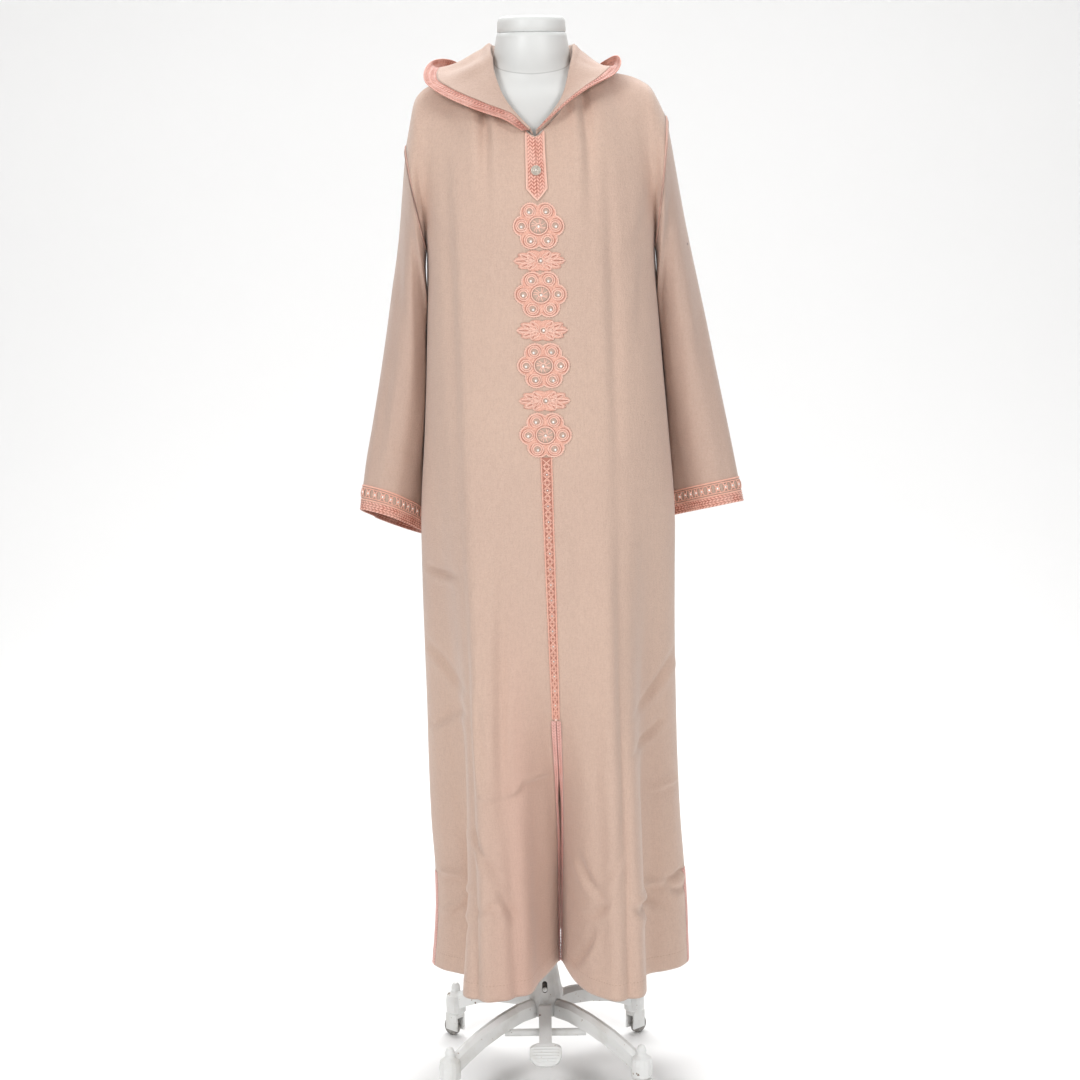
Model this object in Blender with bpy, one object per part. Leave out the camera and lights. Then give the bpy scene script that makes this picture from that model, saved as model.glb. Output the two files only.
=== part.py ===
"""A hooded kaftan hung on a limbless dress form that stands on a wheeled iron base.

Metres, +Z up. The front of the kaftan faces -Y and its wearer's right sleeve is at -X.
Each piece of cloth is a wall of even thickness on a grid of points.
"""

import math
from collections import namedtuple

import bmesh
import bpy
import numpy as np
from mathutils import Vector

# Cloth and trim
CLOTH = 0.0012
BRAID = 0.0022
SEAM_GAP = 0.0003
LIFT = 0.0006
TRIM_THICK = 0.0010
PLACKET_THICK = 0.0014

# The whole is moved by this so that its box is centred over the origin
CENTRE_X = -0.0205
CENTRE_Y = 0.004

# Heights on the kaftan
HEM_Z = 0.177
SLIT_RISE = 0.019
SLIT_TOP_Z = 0.604
SIDE_SLIT_Z = 0.330
YOKE_Z = 1.310

# Braids that finish the slits, the cuffs and the hood
SLIT_BRAID = 0.0120
SLIT_GAP = 0.0040
SIDE_BRAID = 0.0080
CUFF_BRAID = 0.0150
CUFF_BAND = 0.0210
HOOD_BRAID = 0.0200

# Columns of each panel, counted from the middle to one side
FRONT_NECK_COLUMNS = 5
BACK_NECK_COLUMNS = 4
SHOULDER_COLUMNS = 11
YOKE_ROWS = 9
SIDE_SHAPE = 2.3

# Widths and depths of the skirt and body, without folds
Section = namedtuple("Section", "z left right front back middle")
SECTIONS = (
    Section(0.170, -0.181, 0.232, -0.180, 0.150, 0.026),
    Section(0.280, -0.173, 0.229, -0.176, 0.147, 0.027),
    Section(0.444, -0.179, 0.218, -0.172, 0.144, 0.028),
    Section(0.605, -0.180, 0.213, -0.167, 0.140, 0.023),
    Section(0.765, -0.182, 0.211, -0.163, 0.136, 0.019),
    Section(0.890, -0.182, 0.212, -0.160, 0.131, 0.016),
    Section(1.080, -0.170, 0.198, -0.156, 0.120, 0.012),
    Section(1.250, -0.164, 0.185, -0.154, 0.112, 0.009),
    Section(1.340, -0.163, 0.182, -0.150, 0.108, 0.006),
)

# Folds as bumps on the section: angle from the front, towards +X, and its change down to the hem
Fold = namedtuple("Fold", "name angle drift top full depth width")
FOLDS = (
    Fold("front_valley", -1, 0, 0.800, 0.200, -0.135, 14),
    Fold("left_ridge", -37, -2, 1.300, 0.180, 0.026, 12),
    Fold("left_hollow", -64, -2, 1.290, 0.180, -0.052, 15),
    Fold("right_ridge", 29, 2, 1.180, 0.180, 0.022, 11),
    Fold("right_hollow", 58, 4, 1.200, 0.180, -0.060, 16),
    Fold("back_middle", 178, 4, 1.200, 0.180, 0.020, 13),
    Fold("back_left_hollow", -152, -3, 1.150, 0.180, -0.034, 12),
    Fold("back_left_ridge", -128, 0, 1.100, 0.180, 0.018, 11),
    Fold("back_right_hollow", 149, 3, 1.060, 0.180, -0.038, 13),
    Fold("back_right_ridge", 123, 0, 1.150, 0.180, 0.016, 12),
)

ROW_HEIGHTS = (0.177, 0.215, 0.270, 0.330, 0.410, 0.505, 0.604, 0.700, 0.800, 0.910, 1.030, 1.160, 1.310)

# Seam over the shoulder, from the neck to where the sleeve is set on
Shoulder = namedtuple("Shoulder", "share x z")
SHOULDER_LEFT = (
    Shoulder(0.00, -0.069, 1.585),
    Shoulder(0.35, -0.112, 1.569),
    Shoulder(0.68, -0.158, 1.552),
    Shoulder(0.80, -0.175, 1.538),
    Shoulder(0.90, -0.184, 1.504),
    Shoulder(1.00, -0.192, 1.463),
)
SHOULDER_RIGHT = (
    Shoulder(0.00, 0.069, 1.585),
    Shoulder(0.35, 0.112, 1.573),
    Shoulder(0.70, 0.162, 1.559),
    Shoulder(0.82, 0.178, 1.548),
    Shoulder(0.92, 0.191, 1.525),
    Shoulder(1.00, 0.202, 1.502),
)

# Neckline, from the foot of the V round to the middle of the back
Neck = namedtuple("Neck", "share x y z")
NECK_FRONT = (
    Neck(0.00, 0.000, -0.1235, 1.4785),
    Neck(0.35, 0.029, -0.1110, 1.5030),
    Neck(0.65, 0.051, -0.0870, 1.5340),
    Neck(0.88, 0.065, -0.0450, 1.5670),
    Neck(1.00, 0.069, 0.0000, 1.5850),
)
NECK_BACK = (
    Neck(0.00, 0.000, 0.0750, 1.5800),
    Neck(0.55, 0.047, 0.0580, 1.5830),
    Neck(1.00, 0.069, 0.0000, 1.5850),
)
V_MIDDLE = 0.003

# How each column of the yoke leaves the chest and arrives at the shoulder
Yoke = namedtuple("Yoke", "share foot_out foot_up head_out head_down")
YOKE_FRONT = (
    Yoke(0.00, 0.003, 0.055, 0.011, 0.052),
    Yoke(0.12, 0.004, 0.060, 0.013, 0.050),
    Yoke(0.22, 0.006, 0.085, 0.036, 0.034),
    Yoke(0.32, 0.008, 0.110, 0.076, 0.010),
    Yoke(0.62, 0.016, 0.100, 0.074, 0.010),
    Yoke(0.82, 0.036, 0.085, 0.070, 0.010),
    Yoke(0.94, 0.076, 0.035, 0.088, 0.006),
    Yoke(1.00, 0.100, 0.000, 0.098, 0.000),
)
YOKE_BACK = (
    Yoke(0.00, 0.006, 0.100, 0.016, 0.070),
    Yoke(0.25, 0.008, 0.100, 0.064, 0.010),
    Yoke(0.62, 0.020, 0.100, 0.070, 0.010),
    Yoke(0.82, 0.046, 0.085, 0.074, 0.010),
    Yoke(0.94, 0.084, 0.035, 0.090, 0.006),
    Yoke(1.00, 0.100, 0.000, 0.098, 0.000),
)

# Sleeves as flattened rings: outer and inner points, half depth and turn of the flat ring
Ring = namedtuple("Ring", "drop out_x out_y out_z in_x in_y in_z half yaw")
SLEEVE_LEFT = (
    Ring(0.00, -0.192, 0.000, 1.463, -0.163, 0.000, 1.310, 0.074, 0),
    Ring(0.14, -0.199, 0.000, 1.395, -0.166, 0.010, 1.272, 0.073, 3),
    Ring(0.28, -0.206, -0.004, 1.320, -0.163, 0.038, 1.228, 0.069, 9),
    Ring(0.45, -0.221, -0.008, 1.205, -0.157, 0.060, 1.140, 0.062, 18),
    Ring(0.63, -0.239, -0.012, 1.085, -0.159, 0.066, 1.036, 0.054, 28),
    Ring(0.82, -0.258, -0.016, 0.985, -0.168, 0.070, 0.944, 0.046, 36),
    Ring(1.00, -0.268, -0.018, 0.914, -0.174, 0.074, 0.858, 0.039, 42),
)
SLEEVE_RIGHT = (
    Ring(0.00, 0.202, 0.000, 1.502, 0.182, 0.000, 1.310, 0.074, 0),
    Ring(0.14, 0.215, 0.000, 1.430, 0.186, 0.010, 1.275, 0.073, -3),
    Ring(0.28, 0.229, -0.004, 1.345, 0.184, 0.038, 1.232, 0.069, -9),
    Ring(0.45, 0.249, -0.008, 1.240, 0.183, 0.060, 1.160, 0.062, -18),
    Ring(0.63, 0.269, -0.012, 1.130, 0.188, 0.066, 1.070, 0.054, -28),
    Ring(0.82, 0.293, -0.016, 1.010, 0.197, 0.070, 0.972, 0.046, -36),
    Ring(1.00, 0.311, -0.018, 0.919, 0.205, 0.074, 0.883, 0.039, -42),
)
SLEEVE_ROWS = 10
SLEEVE_CLEAR = 0.0050
# Long creases down the sleeves: share of the way round from the inner seam, depth and width
SleeveFold = namedtuple("SleeveFold", "at depth width start")
SLEEVE_FOLDS = (
    SleeveFold(0.24, -0.010, 0.045, 0.05),
    SleeveFold(0.36, 0.006, 0.040, 0.10),
    SleeveFold(0.66, -0.009, 0.050, 0.20),
)

# Hood, laid back: turn is -1 and 1 at the foot of the V and 0 behind the neck
Hood = namedtuple("Hood", "turn crest_x crest_y crest_z rim_x rim_y rim_z drop flare")
HOOD = (
    Hood(-1.00, -0.003, -0.1235, 1.4885, -0.016, -0.1310, 1.4875, 0.000, 0.000),
    Hood(-0.90, -0.024, -0.1110, 1.5100, -0.040, -0.1285, 1.5030, 0.001, 0.002),
    Hood(-0.78, -0.043, -0.0900, 1.5370, -0.076, -0.1200, 1.5155, 0.002, 0.004),
    Hood(-0.66, -0.0555, -0.0620, 1.5700, -0.126, -0.0920, 1.5370, 0.006, 0.008),
    Hood(-0.54, -0.0610, -0.0250, 1.6000, -0.160, -0.0480, 1.5620, 0.010, 0.010),
    Hood(-0.42, -0.0615, 0.0120, 1.6120, -0.152, 0.0200, 1.5810, 0.018, 0.012),
    Hood(-0.28, -0.0540, 0.0470, 1.6120, -0.118, 0.0960, 1.5780, 0.100, 0.040),
    Hood(-0.13, -0.0270, 0.0720, 1.6050, -0.060, 0.1400, 1.5500, 0.225, 0.070),
    Hood(0.00, 0.0000, 0.0790, 1.6020, 0.000, 0.1500, 1.5300, 0.260, 0.075),
    Hood(0.13, 0.0270, 0.0720, 1.6050, 0.058, 0.1400, 1.5530, 0.225, 0.070),
    Hood(0.28, 0.0540, 0.0470, 1.6110, 0.104, 0.0960, 1.5860, 0.100, 0.040),
    Hood(0.42, 0.0615, 0.0120, 1.6110, 0.128, 0.0280, 1.5970, 0.030, 0.015),
    Hood(0.54, 0.0610, -0.0250, 1.6000, 0.133, -0.0280, 1.5850, 0.014, 0.010),
    Hood(0.66, 0.0545, -0.0600, 1.5700, 0.122, -0.0640, 1.5680, 0.006, 0.008),
    Hood(0.78, 0.0450, -0.0850, 1.5370, 0.090, -0.0980, 1.5530, 0.002, 0.004),
    Hood(0.90, 0.0270, -0.1110, 1.5090, 0.050, -0.1220, 1.5290, 0.001, 0.002),
    Hood(1.00, 0.0050, -0.1230, 1.4860, 0.018, -0.1290, 1.5010, 0.000, 0.000),
)
# Where round the neckline the hood is sewn on: 0 at the foot of the V, 1 at the shoulder, 2 behind the neck
Foot = namedtuple("Foot", "turn share")
HOOD_FOOT = (
    Foot(0.00, 2.00),
    Foot(0.13, 1.70),
    Foot(0.28, 1.34),
    Foot(0.42, 1.09),
    Foot(0.54, 0.96),
    Foot(0.66, 0.84),
    Foot(0.78, 0.65),
    Foot(0.90, 0.36),
    Foot(1.00, 0.03),
)
HOOD_COLUMNS = 36
HOOD_ROWS = 7
HOOD_CLEAR = 0.0045
HOOD_SEAM_IN = 0.0021

# Flowers and leaves down the front: distance from the middle line, height and size
Motif = namedtuple("Motif", "across z half_width half_height")
ROSETTES = (
    Motif(0.000, 1.3495, 0.038, 0.0355),
    Motif(0.000, 1.2500, 0.038, 0.0355),
    Motif(0.000, 1.1458, 0.038, 0.0350),
    Motif(0.000, 1.0432, 0.038, 0.0350),
)
LEAF_SPRAYS = (
    Motif(0.000, 1.2990, 0.038, 0.0165),
    Motif(0.000, 1.1975, 0.038, 0.0165),
    Motif(0.000, 1.0940, 0.038, 0.0165),
)
STEM_TOP_Z = 1.006
STEM_CLEAR = 0.0030
STEM_TOP_HALF = 0.0088
STEM_FOOT_HALF = 0.0060
PLACKET_HALF = 0.0175
PLACKET_TIP_Z = 1.3865
PLACKET_SHOULDER_Z = 1.4040
PLACKET_SHORT = 0.20
BUTTON_Z = 1.4287
BUTTON_RADIUS = 0.0075
BUTTON_THICK = 0.0042

# Dress form
Form = namedtuple("Form", "z half front back shape")
FORM = (
    Form(0.860, 0.140, 0.098, 0.096, 2.2),
    Form(0.872, 0.150, 0.106, 0.106, 2.2),
    Form(0.920, 0.155, 0.110, 0.112, 2.2),
    Form(0.990, 0.150, 0.106, 0.110, 2.2),
    Form(1.100, 0.126, 0.096, 0.084, 2.2),
    Form(1.200, 0.136, 0.112, 0.082, 2.2),
    Form(1.290, 0.145, 0.132, 0.088, 2.2),
    Form(1.360, 0.149, 0.126, 0.090, 2.1),
    Form(1.430, 0.153, 0.108, 0.086, 2.0),
    Form(1.480, 0.156, 0.093, 0.080, 1.9),
    Form(1.515, 0.154, 0.082, 0.070, 1.7),
    Form(1.538, 0.1490, 0.0730, 0.0610, 1.6),
    Form(1.556, 0.1220, 0.0610, 0.0552, 1.5),
    Form(1.570, 0.0783, 0.0565, 0.0532, 1.7),
    Form(1.582, 0.0610, 0.0570, 0.0550, 2.0),
    Form(1.600, 0.0575, 0.0575, 0.0550, 2.0),
    Form(1.6305, 0.0520, 0.0530, 0.0520, 2.0),
)
FORM_SIDES = 24
CAP_FOOT_Z = 1.6308
CAP_TOP_Z = 1.655
CAP_HALF = 0.0515

# Stand
MAST_RADIUS = 0.0130
MAST_FOOT_Z = 0.330
MAST_TOP_Z = 0.8597
COLUMN_RADIUS = 0.0195
COLUMN_TOP_Z = 0.520
BORE_RADIUS = 0.0133
BORE_FOOT_Z = 0.210
HUB_RADIUS = 0.0300
HUB_FOOT_Z = 0.0940
LEG_REACH = 0.209
LEG_HEIGHT = 0.0270
LEG_HALF_WIDTH = 0.0100
LEG_ROOT = 0.0303
SOCKET_FOOT_Z = 0.040
ROD_RADIUS = 0.0060
ROD_HALF_LENGTH = 0.064
ROD_Y = -0.062
ROD_Z = 0.0834
PEDAL_HALF_WIDTH = 0.0255
PEDAL_ARM_HALF = 0.0100
WHEEL_RADIUS = 0.0150
WHEEL_SIDES = 16
WHEEL_HALF_WIDTH = 0.0060
FORK_GAP = 0.0003
FORK_WALL = 0.0030
CASTER_TRAIL = 0.0100


def material(name, colour, roughness, metallic=0.0):
    """A Principled material of one colour."""
    made = bpy.data.materials.new(name)
    made.use_nodes = True
    shader = made.node_tree.nodes["Principled BSDF"]
    shader.inputs["Base Color"].default_value = (*colour, 1.0)
    shader.inputs["Roughness"].default_value = roughness
    shader.inputs["Metallic"].default_value = metallic
    return made


def along(rows, at):
    """Each column of a table, read on a smooth curve through its rows; the first column says where."""
    table = np.array([[value for value in row if not isinstance(value, str)] for row in rows], float)
    keys = table[:, 0]
    at = np.clip(at, keys[0], keys[-1])
    slopes = np.gradient(table, keys, axis=0)
    k = np.clip(np.searchsorted(keys, at) - 1, 0, len(keys) - 2)
    span = keys[k + 1] - keys[k]
    u = (at - keys[k]) / span
    return (
        (2 * u**3 - 3 * u**2 + 1) * table[k]
        + (u**3 - 2 * u**2 + u) * span * slopes[k]
        + (3 * u**2 - 2 * u**3) * table[k + 1]
        + (u**3 - u**2) * span * slopes[k + 1]
    )


def bezier(p0, p1, p2, p3, t):
    """The point at t on a cubic curve."""
    return (1 - t) ** 3 * p0 + 3 * t * (1 - t) ** 2 * p1 + 3 * t**2 * (1 - t) * p2 + t**3 * p3


def smooth_step(u):
    """0 to 1 with level ends."""
    u = np.clip(u, 0.0, 1.0)
    return u * u * (3 - 2 * u)


def reach(angles, z):
    """Distance of the cloth from the middle axis at each angle in degrees."""
    _, left, right, front, back, middle = along(SECTIONS, z)
    sine = np.sin(np.radians(angles))
    cosine = np.cos(np.radians(angles))
    half = np.where(sine > 0, right - middle, middle - left)
    depth = np.where(cosine > 0, -front, back)
    found = (np.abs(sine / half) ** SIDE_SHAPE + np.abs(cosine / depth) ** SIDE_SHAPE) ** (-1 / SIDE_SHAPE)
    for fold in FOLDS:
        grown = smooth_step((fold.top - z) / (fold.top - fold.full))
        away = angles - fold.angle - fold.drift * grown
        away = (away + 180) % 360 - 180
        found = found + fold.depth * grown * np.exp(-((away / fold.width) ** 2))
    return found


def half_section(z, side, face):
    """Points on one quarter of the section, from the middle of the front or back to the side seam."""
    start = 0 if face == "front" else 180
    turn = side if face == "front" else -side
    angles = start + turn * np.linspace(0, 90, 121)
    away = reach(angles, z)
    middle = along(SECTIONS, z)[5]
    x = middle + away * np.sin(np.radians(angles))
    y = -away * np.cos(np.radians(angles))
    return np.column_stack([x, y, np.full(len(x), z)])


def at_distance(points, distance):
    """The point at a distance along a run of points, straight on past its end."""
    steps = np.linalg.norm(np.diff(points, axis=0), axis=1)
    gone = np.concatenate([[0], np.cumsum(steps)])
    return np.array([np.interp(distance, gone, points[:, axis]) for axis in range(3)])


def length(points):
    """Length of a run of points."""
    return np.linalg.norm(np.diff(points, axis=0), axis=1).sum()


def column_distance(k, last, whole):
    """How far from the middle line column k of a panel runs, on a half section of this length."""
    if k == 0:
        return 0.0
    if k == last:
        return whole
    return SLIT_BRAID + (whole - SLIT_BRAID - SIDE_BRAID) * (k - 1) / (last - 2)


def neckline(face, side, share):
    """A point on the neckline."""
    _, x, y, z = along(NECK_FRONT if face == "front" else NECK_BACK, share)
    lean = V_MIDDLE * (1 - share) if face == "front" else 0.0
    return np.array([side * x + lean, y, z])


def panel_top(face, side, k, neck_columns):
    """Where column k of a panel ends: on the neckline, then along the shoulder seam."""
    if k <= neck_columns:
        return neckline(face, side, k / neck_columns)
    share = (k - neck_columns) / SHOULDER_COLUMNS
    _, x, z = along(SHOULDER_LEFT if side < 0 else SHOULDER_RIGHT, share)
    return np.array([x, 0.0, z])


def hem_height(across, row_z, face):
    """The hem rises at the middle slit, and a little at the sides."""
    fade = smooth_step((0.40 - row_z) / (0.40 - HEM_Z))
    rise = SLIT_RISE * math.exp(-((across / 0.075) ** 2)) if face == "front" else 0.0
    return row_z + fade * rise


def panel_column(face, side, k, neck_columns):
    """One column of a panel from its hem to its top."""
    last = neck_columns + SHOULDER_COLUMNS
    points = []
    for row_z in ROW_HEIGHTS:
        quarter = half_section(row_z, side, face)
        distance = column_distance(k, last, length(quarter))
        z = hem_height(distance, row_z, face)
        quarter = half_section(z, side, face)
        points.append(at_distance(quarter, column_distance(k, last, length(quarter))))
    out = -1.0 if face == "front" else 1.0
    shape = along(YOKE_FRONT if face == "front" else YOKE_BACK, k / last)
    foot = points[-1]
    head = panel_top(face, side, k, neck_columns)
    first = foot + np.array([0.0, out * shape[1], shape[2]])
    second = head + np.array([0.0, out * shape[3], -shape[4]])
    for step in range(1, YOKE_ROWS + 1):
        points.append(bezier(foot, first, second, head, step / YOKE_ROWS))
    return points


def panel_grid(face):
    """Points of the front or back panel, rows from the hem up and columns so that they face out."""
    neck_columns = FRONT_NECK_COLUMNS if face == "front" else BACK_NECK_COLUMNS
    last = neck_columns + SHOULDER_COLUMNS
    one = [panel_column(face, -1, k, neck_columns) for k in range(last, 0, -1)]
    middle = [panel_column(face, 1, 0, neck_columns)]
    other = [panel_column(face, 1, k, neck_columns) for k in range(1, last + 1)]
    columns = one + middle + other
    if face == "back":
        columns.reverse()
    return np.array(columns).transpose(1, 0, 2)


def grid_normals(grid, closed=False):
    """Face normals gathered at each point, not yet of unit length."""
    wide = np.concatenate([grid, grid[:, :1]], axis=1) if closed else grid
    a, b = wide[:-1, :-1], wide[:-1, 1:]
    c, d = wide[1:, 1:], wide[1:, :-1]
    faces = np.cross(c - a, d - b)
    found = np.zeros_like(wide)
    for rows in (slice(None, -1), slice(1, None)):
        for columns in (slice(None, -1), slice(1, None)):
            found[rows, columns] += faces
    if closed:
        found[:, 0] += found[:, -1]
        found = found[:, :-1]
    return found


def shared_normals(grids):
    """Unit normals of several grids, the same where their points meet."""
    raw = [grid_normals(grid, closed) for grid, closed in grids]
    total = {}
    for (grid, _), normals in zip(grids, raw):
        for place, normal in zip(grid.reshape(-1, 3), normals.reshape(-1, 3)):
            key = tuple(np.round(place, 6))
            total[key] = total.get(key, 0) + normal
    found = []
    for grid, _ in grids:
        flat = np.array([total[tuple(np.round(place, 6))] for place in grid.reshape(-1, 3)])
        flat /= np.linalg.norm(flat, axis=1)[:, None]
        found.append(flat.reshape(grid.shape))
    return found


def seam_normals(front, back, left, right):
    """Normals that the pieces share at their seams; where cloth folds back under an arm, each keeps its own."""
    body, sleeves = [(front, False), (back, False)], [(left, True), (right, True)]
    own = shared_normals(body) + shared_normals(sleeves[:1]) + shared_normals(sleeves[1:])
    shared = shared_normals(body + sleeves)
    for mine, common in zip(own, shared):
        folded = (mine * common).sum(axis=2) < 0.6
        common[folded] = mine[folded]
    return shared


def add_object(name, points, faces, look, smooth=True):
    """A closed mesh object with its faces turned outwards."""
    mesh = bpy.data.meshes.new(name)
    mesh.from_pydata([tuple(point) for point in points], [], faces)
    work = bmesh.new()
    work.from_mesh(mesh)
    bmesh.ops.recalc_face_normals(work, faces=work.faces)
    work.to_mesh(mesh)
    work.free()
    mesh.materials.append(look)
    if smooth:
        mesh.shade_smooth()
        mesh.set_sharp_from_angle(angle=math.radians(40))
    made = bpy.data.objects.new(name, mesh)
    made.location = (CENTRE_X, CENTRE_Y, 0.0)
    bpy.context.scene.collection.objects.link(made)
    return made


def wall(name, look, grid, normals, thick=CLOTH, keep=None, closed=False, trim=SEAM_GAP / 2):
    """A wall of cloth inside a grid of outer points, trimmed back at its edges."""
    rows, columns = grid.shape[:2]
    across = columns if closed else columns - 1
    if keep is None:
        keep = np.ones((rows - 1, across), bool)

    def kept(i, j):
        if closed:
            j %= across
        return 0 <= i < rows - 1 and 0 <= j < across and keep[i, j]

    outer = grid.copy()
    inward = np.zeros_like(grid)
    edges = []
    for i in range(rows - 1):
        for j in range(across):
            if not keep[i, j]:
                continue
            right = (j + 1) % columns
            corners = ((i, j), (i, right), (i + 1, right), (i + 1, j))
            beyond = (kept(i - 1, j), kept(i, j + 1), kept(i + 1, j), kept(i, j - 1))
            for side in range(4):
                if beyond[side]:
                    continue
                a, b = corners[side], corners[(side + 1) % 4]
                edges.append((a, b))
                for corner in (a, b):
                    step = np.cross(normals[corner], grid[b] - grid[a])
                    inward[corner] += step / max(np.linalg.norm(step), 1e-12)
    moved = np.linalg.norm(inward, axis=2)
    turned = moved > 1e-6
    outer[turned] += inward[turned] / moved[turned][:, None] * trim
    inner = outer - normals * thick

    index = {}
    points = []
    faces = []

    def corner_of(skin, place):
        key = (skin, place)
        if key not in index:
            index[key] = len(points)
            points.append(outer[place] if skin else inner[place])
        return index[key]

    for i in range(rows - 1):
        for j in range(across):
            if not keep[i, j]:
                continue
            right = (j + 1) % columns
            corners = ((i, j), (i, right), (i + 1, right), (i + 1, j))
            for skin in (True, False):
                a, b, c, d = (corner_of(skin, corner) for corner in corners)
                faces.extend([(a, b, c), (a, c, d)] if skin else [(a, c, b), (a, d, c)])
    for a, b in edges:
        quad = (corner_of(True, a), corner_of(True, b), corner_of(False, b), corner_of(False, a))
        faces.extend([(quad[0], quad[2], quad[1]), (quad[0], quad[3], quad[2])])
    return add_object(name, points, faces, look)


class Panel:
    """A panel that trim is laid on, by distance across from its middle line and row of its grid."""

    def __init__(self, grid, normals):
        self.grid = grid
        self.normals = normals
        self.middle = grid.shape[1] // 2
        steps = np.linalg.norm(np.diff(grid, axis=1), axis=2)
        gone = np.concatenate([np.zeros((len(grid), 1)), np.cumsum(steps, axis=1)], axis=1)
        self.across = gone - gone[:, self.middle : self.middle + 1]

    def run(self, across):
        """Points and normals up the panel at one distance from its middle line."""
        found = []
        for points, normals, gone in zip(self.grid, self.normals, self.across):
            both = np.concatenate([points, normals], axis=1)
            found.append([np.interp(across, gone, both[:, axis]) for axis in range(6)])
        return np.array(found)

    def row_of(self, z):
        """The row, as a number with a fraction, at a height on the middle line."""
        heights = self.grid[:, self.middle, 2]
        return float(np.interp(z, heights, np.arange(len(heights))))

    def rows_between(self, low, high):
        """Rows from one to another, with every whole row between them."""
        return [low] + [row for row in range(len(self.grid)) if low + 0.1 < row < high - 0.1] + [high]

    def place_row(self, across, row, lift):
        """A point of the panel by its row, moved out along its normal."""
        run = self.run(across)
        found = np.array([np.interp(row, np.arange(len(run)), run[:, axis]) for axis in range(6)])
        return found[:3] + found[3:] / np.linalg.norm(found[3:]) * lift

    def place(self, across, z, lift):
        """A point of the panel by its height, moved out along its normal."""
        run = self.run(across)
        found = np.array([np.interp(z, run[:, 2], run[:, axis]) for axis in range(6)])
        return found[:3] + found[3:] / np.linalg.norm(found[3:]) * lift

    def depth_at(self, x, z):
        """How far back the panel lies at a place seen from the front, or None beside it."""
        a, b = self.grid[:-1, :-1].reshape(-1, 3), self.grid[:-1, 1:].reshape(-1, 3)
        c, d = self.grid[1:, 1:].reshape(-1, 3), self.grid[1:, :-1].reshape(-1, 3)
        found = []
        for p, q, r in ((a, b, c), (a, c, d)):
            whole = (q[:, 0] - p[:, 0]) * (r[:, 2] - p[:, 2]) - (r[:, 0] - p[:, 0]) * (q[:, 2] - p[:, 2])
            whole = np.where(np.abs(whole) < 1e-12, 1e-12, whole)
            v = ((x - p[:, 0]) * (r[:, 2] - p[:, 2]) - (r[:, 0] - p[:, 0]) * (z - p[:, 2])) / whole
            w = ((q[:, 0] - p[:, 0]) * (z - p[:, 2]) - (x - p[:, 0]) * (q[:, 2] - p[:, 2])) / whole
            inside = (v >= 0) & (w >= 0) & (v + w <= 1)
            found.extend((p[:, 1] + v * (q[:, 1] - p[:, 1]) + w * (r[:, 1] - p[:, 1]))[inside])
        return found


def plate(name, look, panel, rows, thick):
    """Trim that lies on the panel: rows of (across, row of the panel's grid), each of one length."""
    top = [[panel.place_row(across, at, LIFT + thick) for across, at in row] for row in rows]
    foot = [[panel.place_row(across, at, LIFT) for across, at in row] for row in rows]
    count, wide = len(rows), len(rows[0])
    points = [point for row in top + foot for point in row]

    def at(skin, i, j):
        return (skin * count + i) * wide + j

    faces = []
    for i in range(count - 1):
        for j in range(wide - 1):
            for skin in (0, 1):
                a, b = at(skin, i, j), at(skin, i, j + 1)
                c, d = at(skin, i + 1, j + 1), at(skin, i + 1, j)
                faces.extend([(a, b, c), (a, c, d)] if skin == 0 else [(a, c, b), (a, d, c)])
    rim = [(0, j) for j in range(wide)] + [(i, wide - 1) for i in range(1, count)]
    rim += [(count - 1, j) for j in range(wide - 2, -1, -1)] + [(i, 0) for i in range(count - 2, 0, -1)]
    for a, b in zip(rim, rim[1:] + rim[:1]):
        quad = (at(0, *a), at(0, *b), at(1, *b), at(1, *a))
        faces.extend([(quad[0], quad[2], quad[1]), (quad[0], quad[3], quad[2])])
    return add_object(name, points, faces, look)


def round_plate(name, look, panel, motif, outline, rings, thick):
    """Trim with a round outline: rings of (share of the radius, share of the thickness) about a middle."""
    sides = len(outline)
    points, faces = [], []
    for skin in (0, 1):
        crown = rings[0][1] if skin == 0 else 0.0
        points.append(panel.place(motif.across, motif.z, LIFT + thick * crown))
        for share, height in rings[1:]:
            for x, z in outline:
                lift = LIFT + (thick * height if skin == 0 else 0.0)
                points.append(panel.place(motif.across + share * x, motif.z + share * z, lift))
    skin_size = 1 + sides * (len(rings) - 1)

    def at(skin, ring, j):
        return skin * skin_size + (0 if ring == 0 else 1 + (ring - 1) * sides + j % sides)

    for skin in (0, 1):
        for j in range(sides):
            faces.append((at(skin, 0, 0), at(skin, 1, j), at(skin, 1, j + 1)))
            for ring in range(1, len(rings) - 1):
                a, b = at(skin, ring, j), at(skin, ring, j + 1)
                c, d = at(skin, ring + 1, j + 1), at(skin, ring + 1, j)
                faces.extend([(a, b, c), (a, c, d)])
    last = len(rings) - 1
    for j in range(sides):
        a, b = at(0, last, j), at(0, last, j + 1)
        c, d = at(1, last, j + 1), at(1, last, j)
        faces.extend([(a, b, c), (a, c, d)])
    return add_object(name, points, faces, look)


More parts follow.
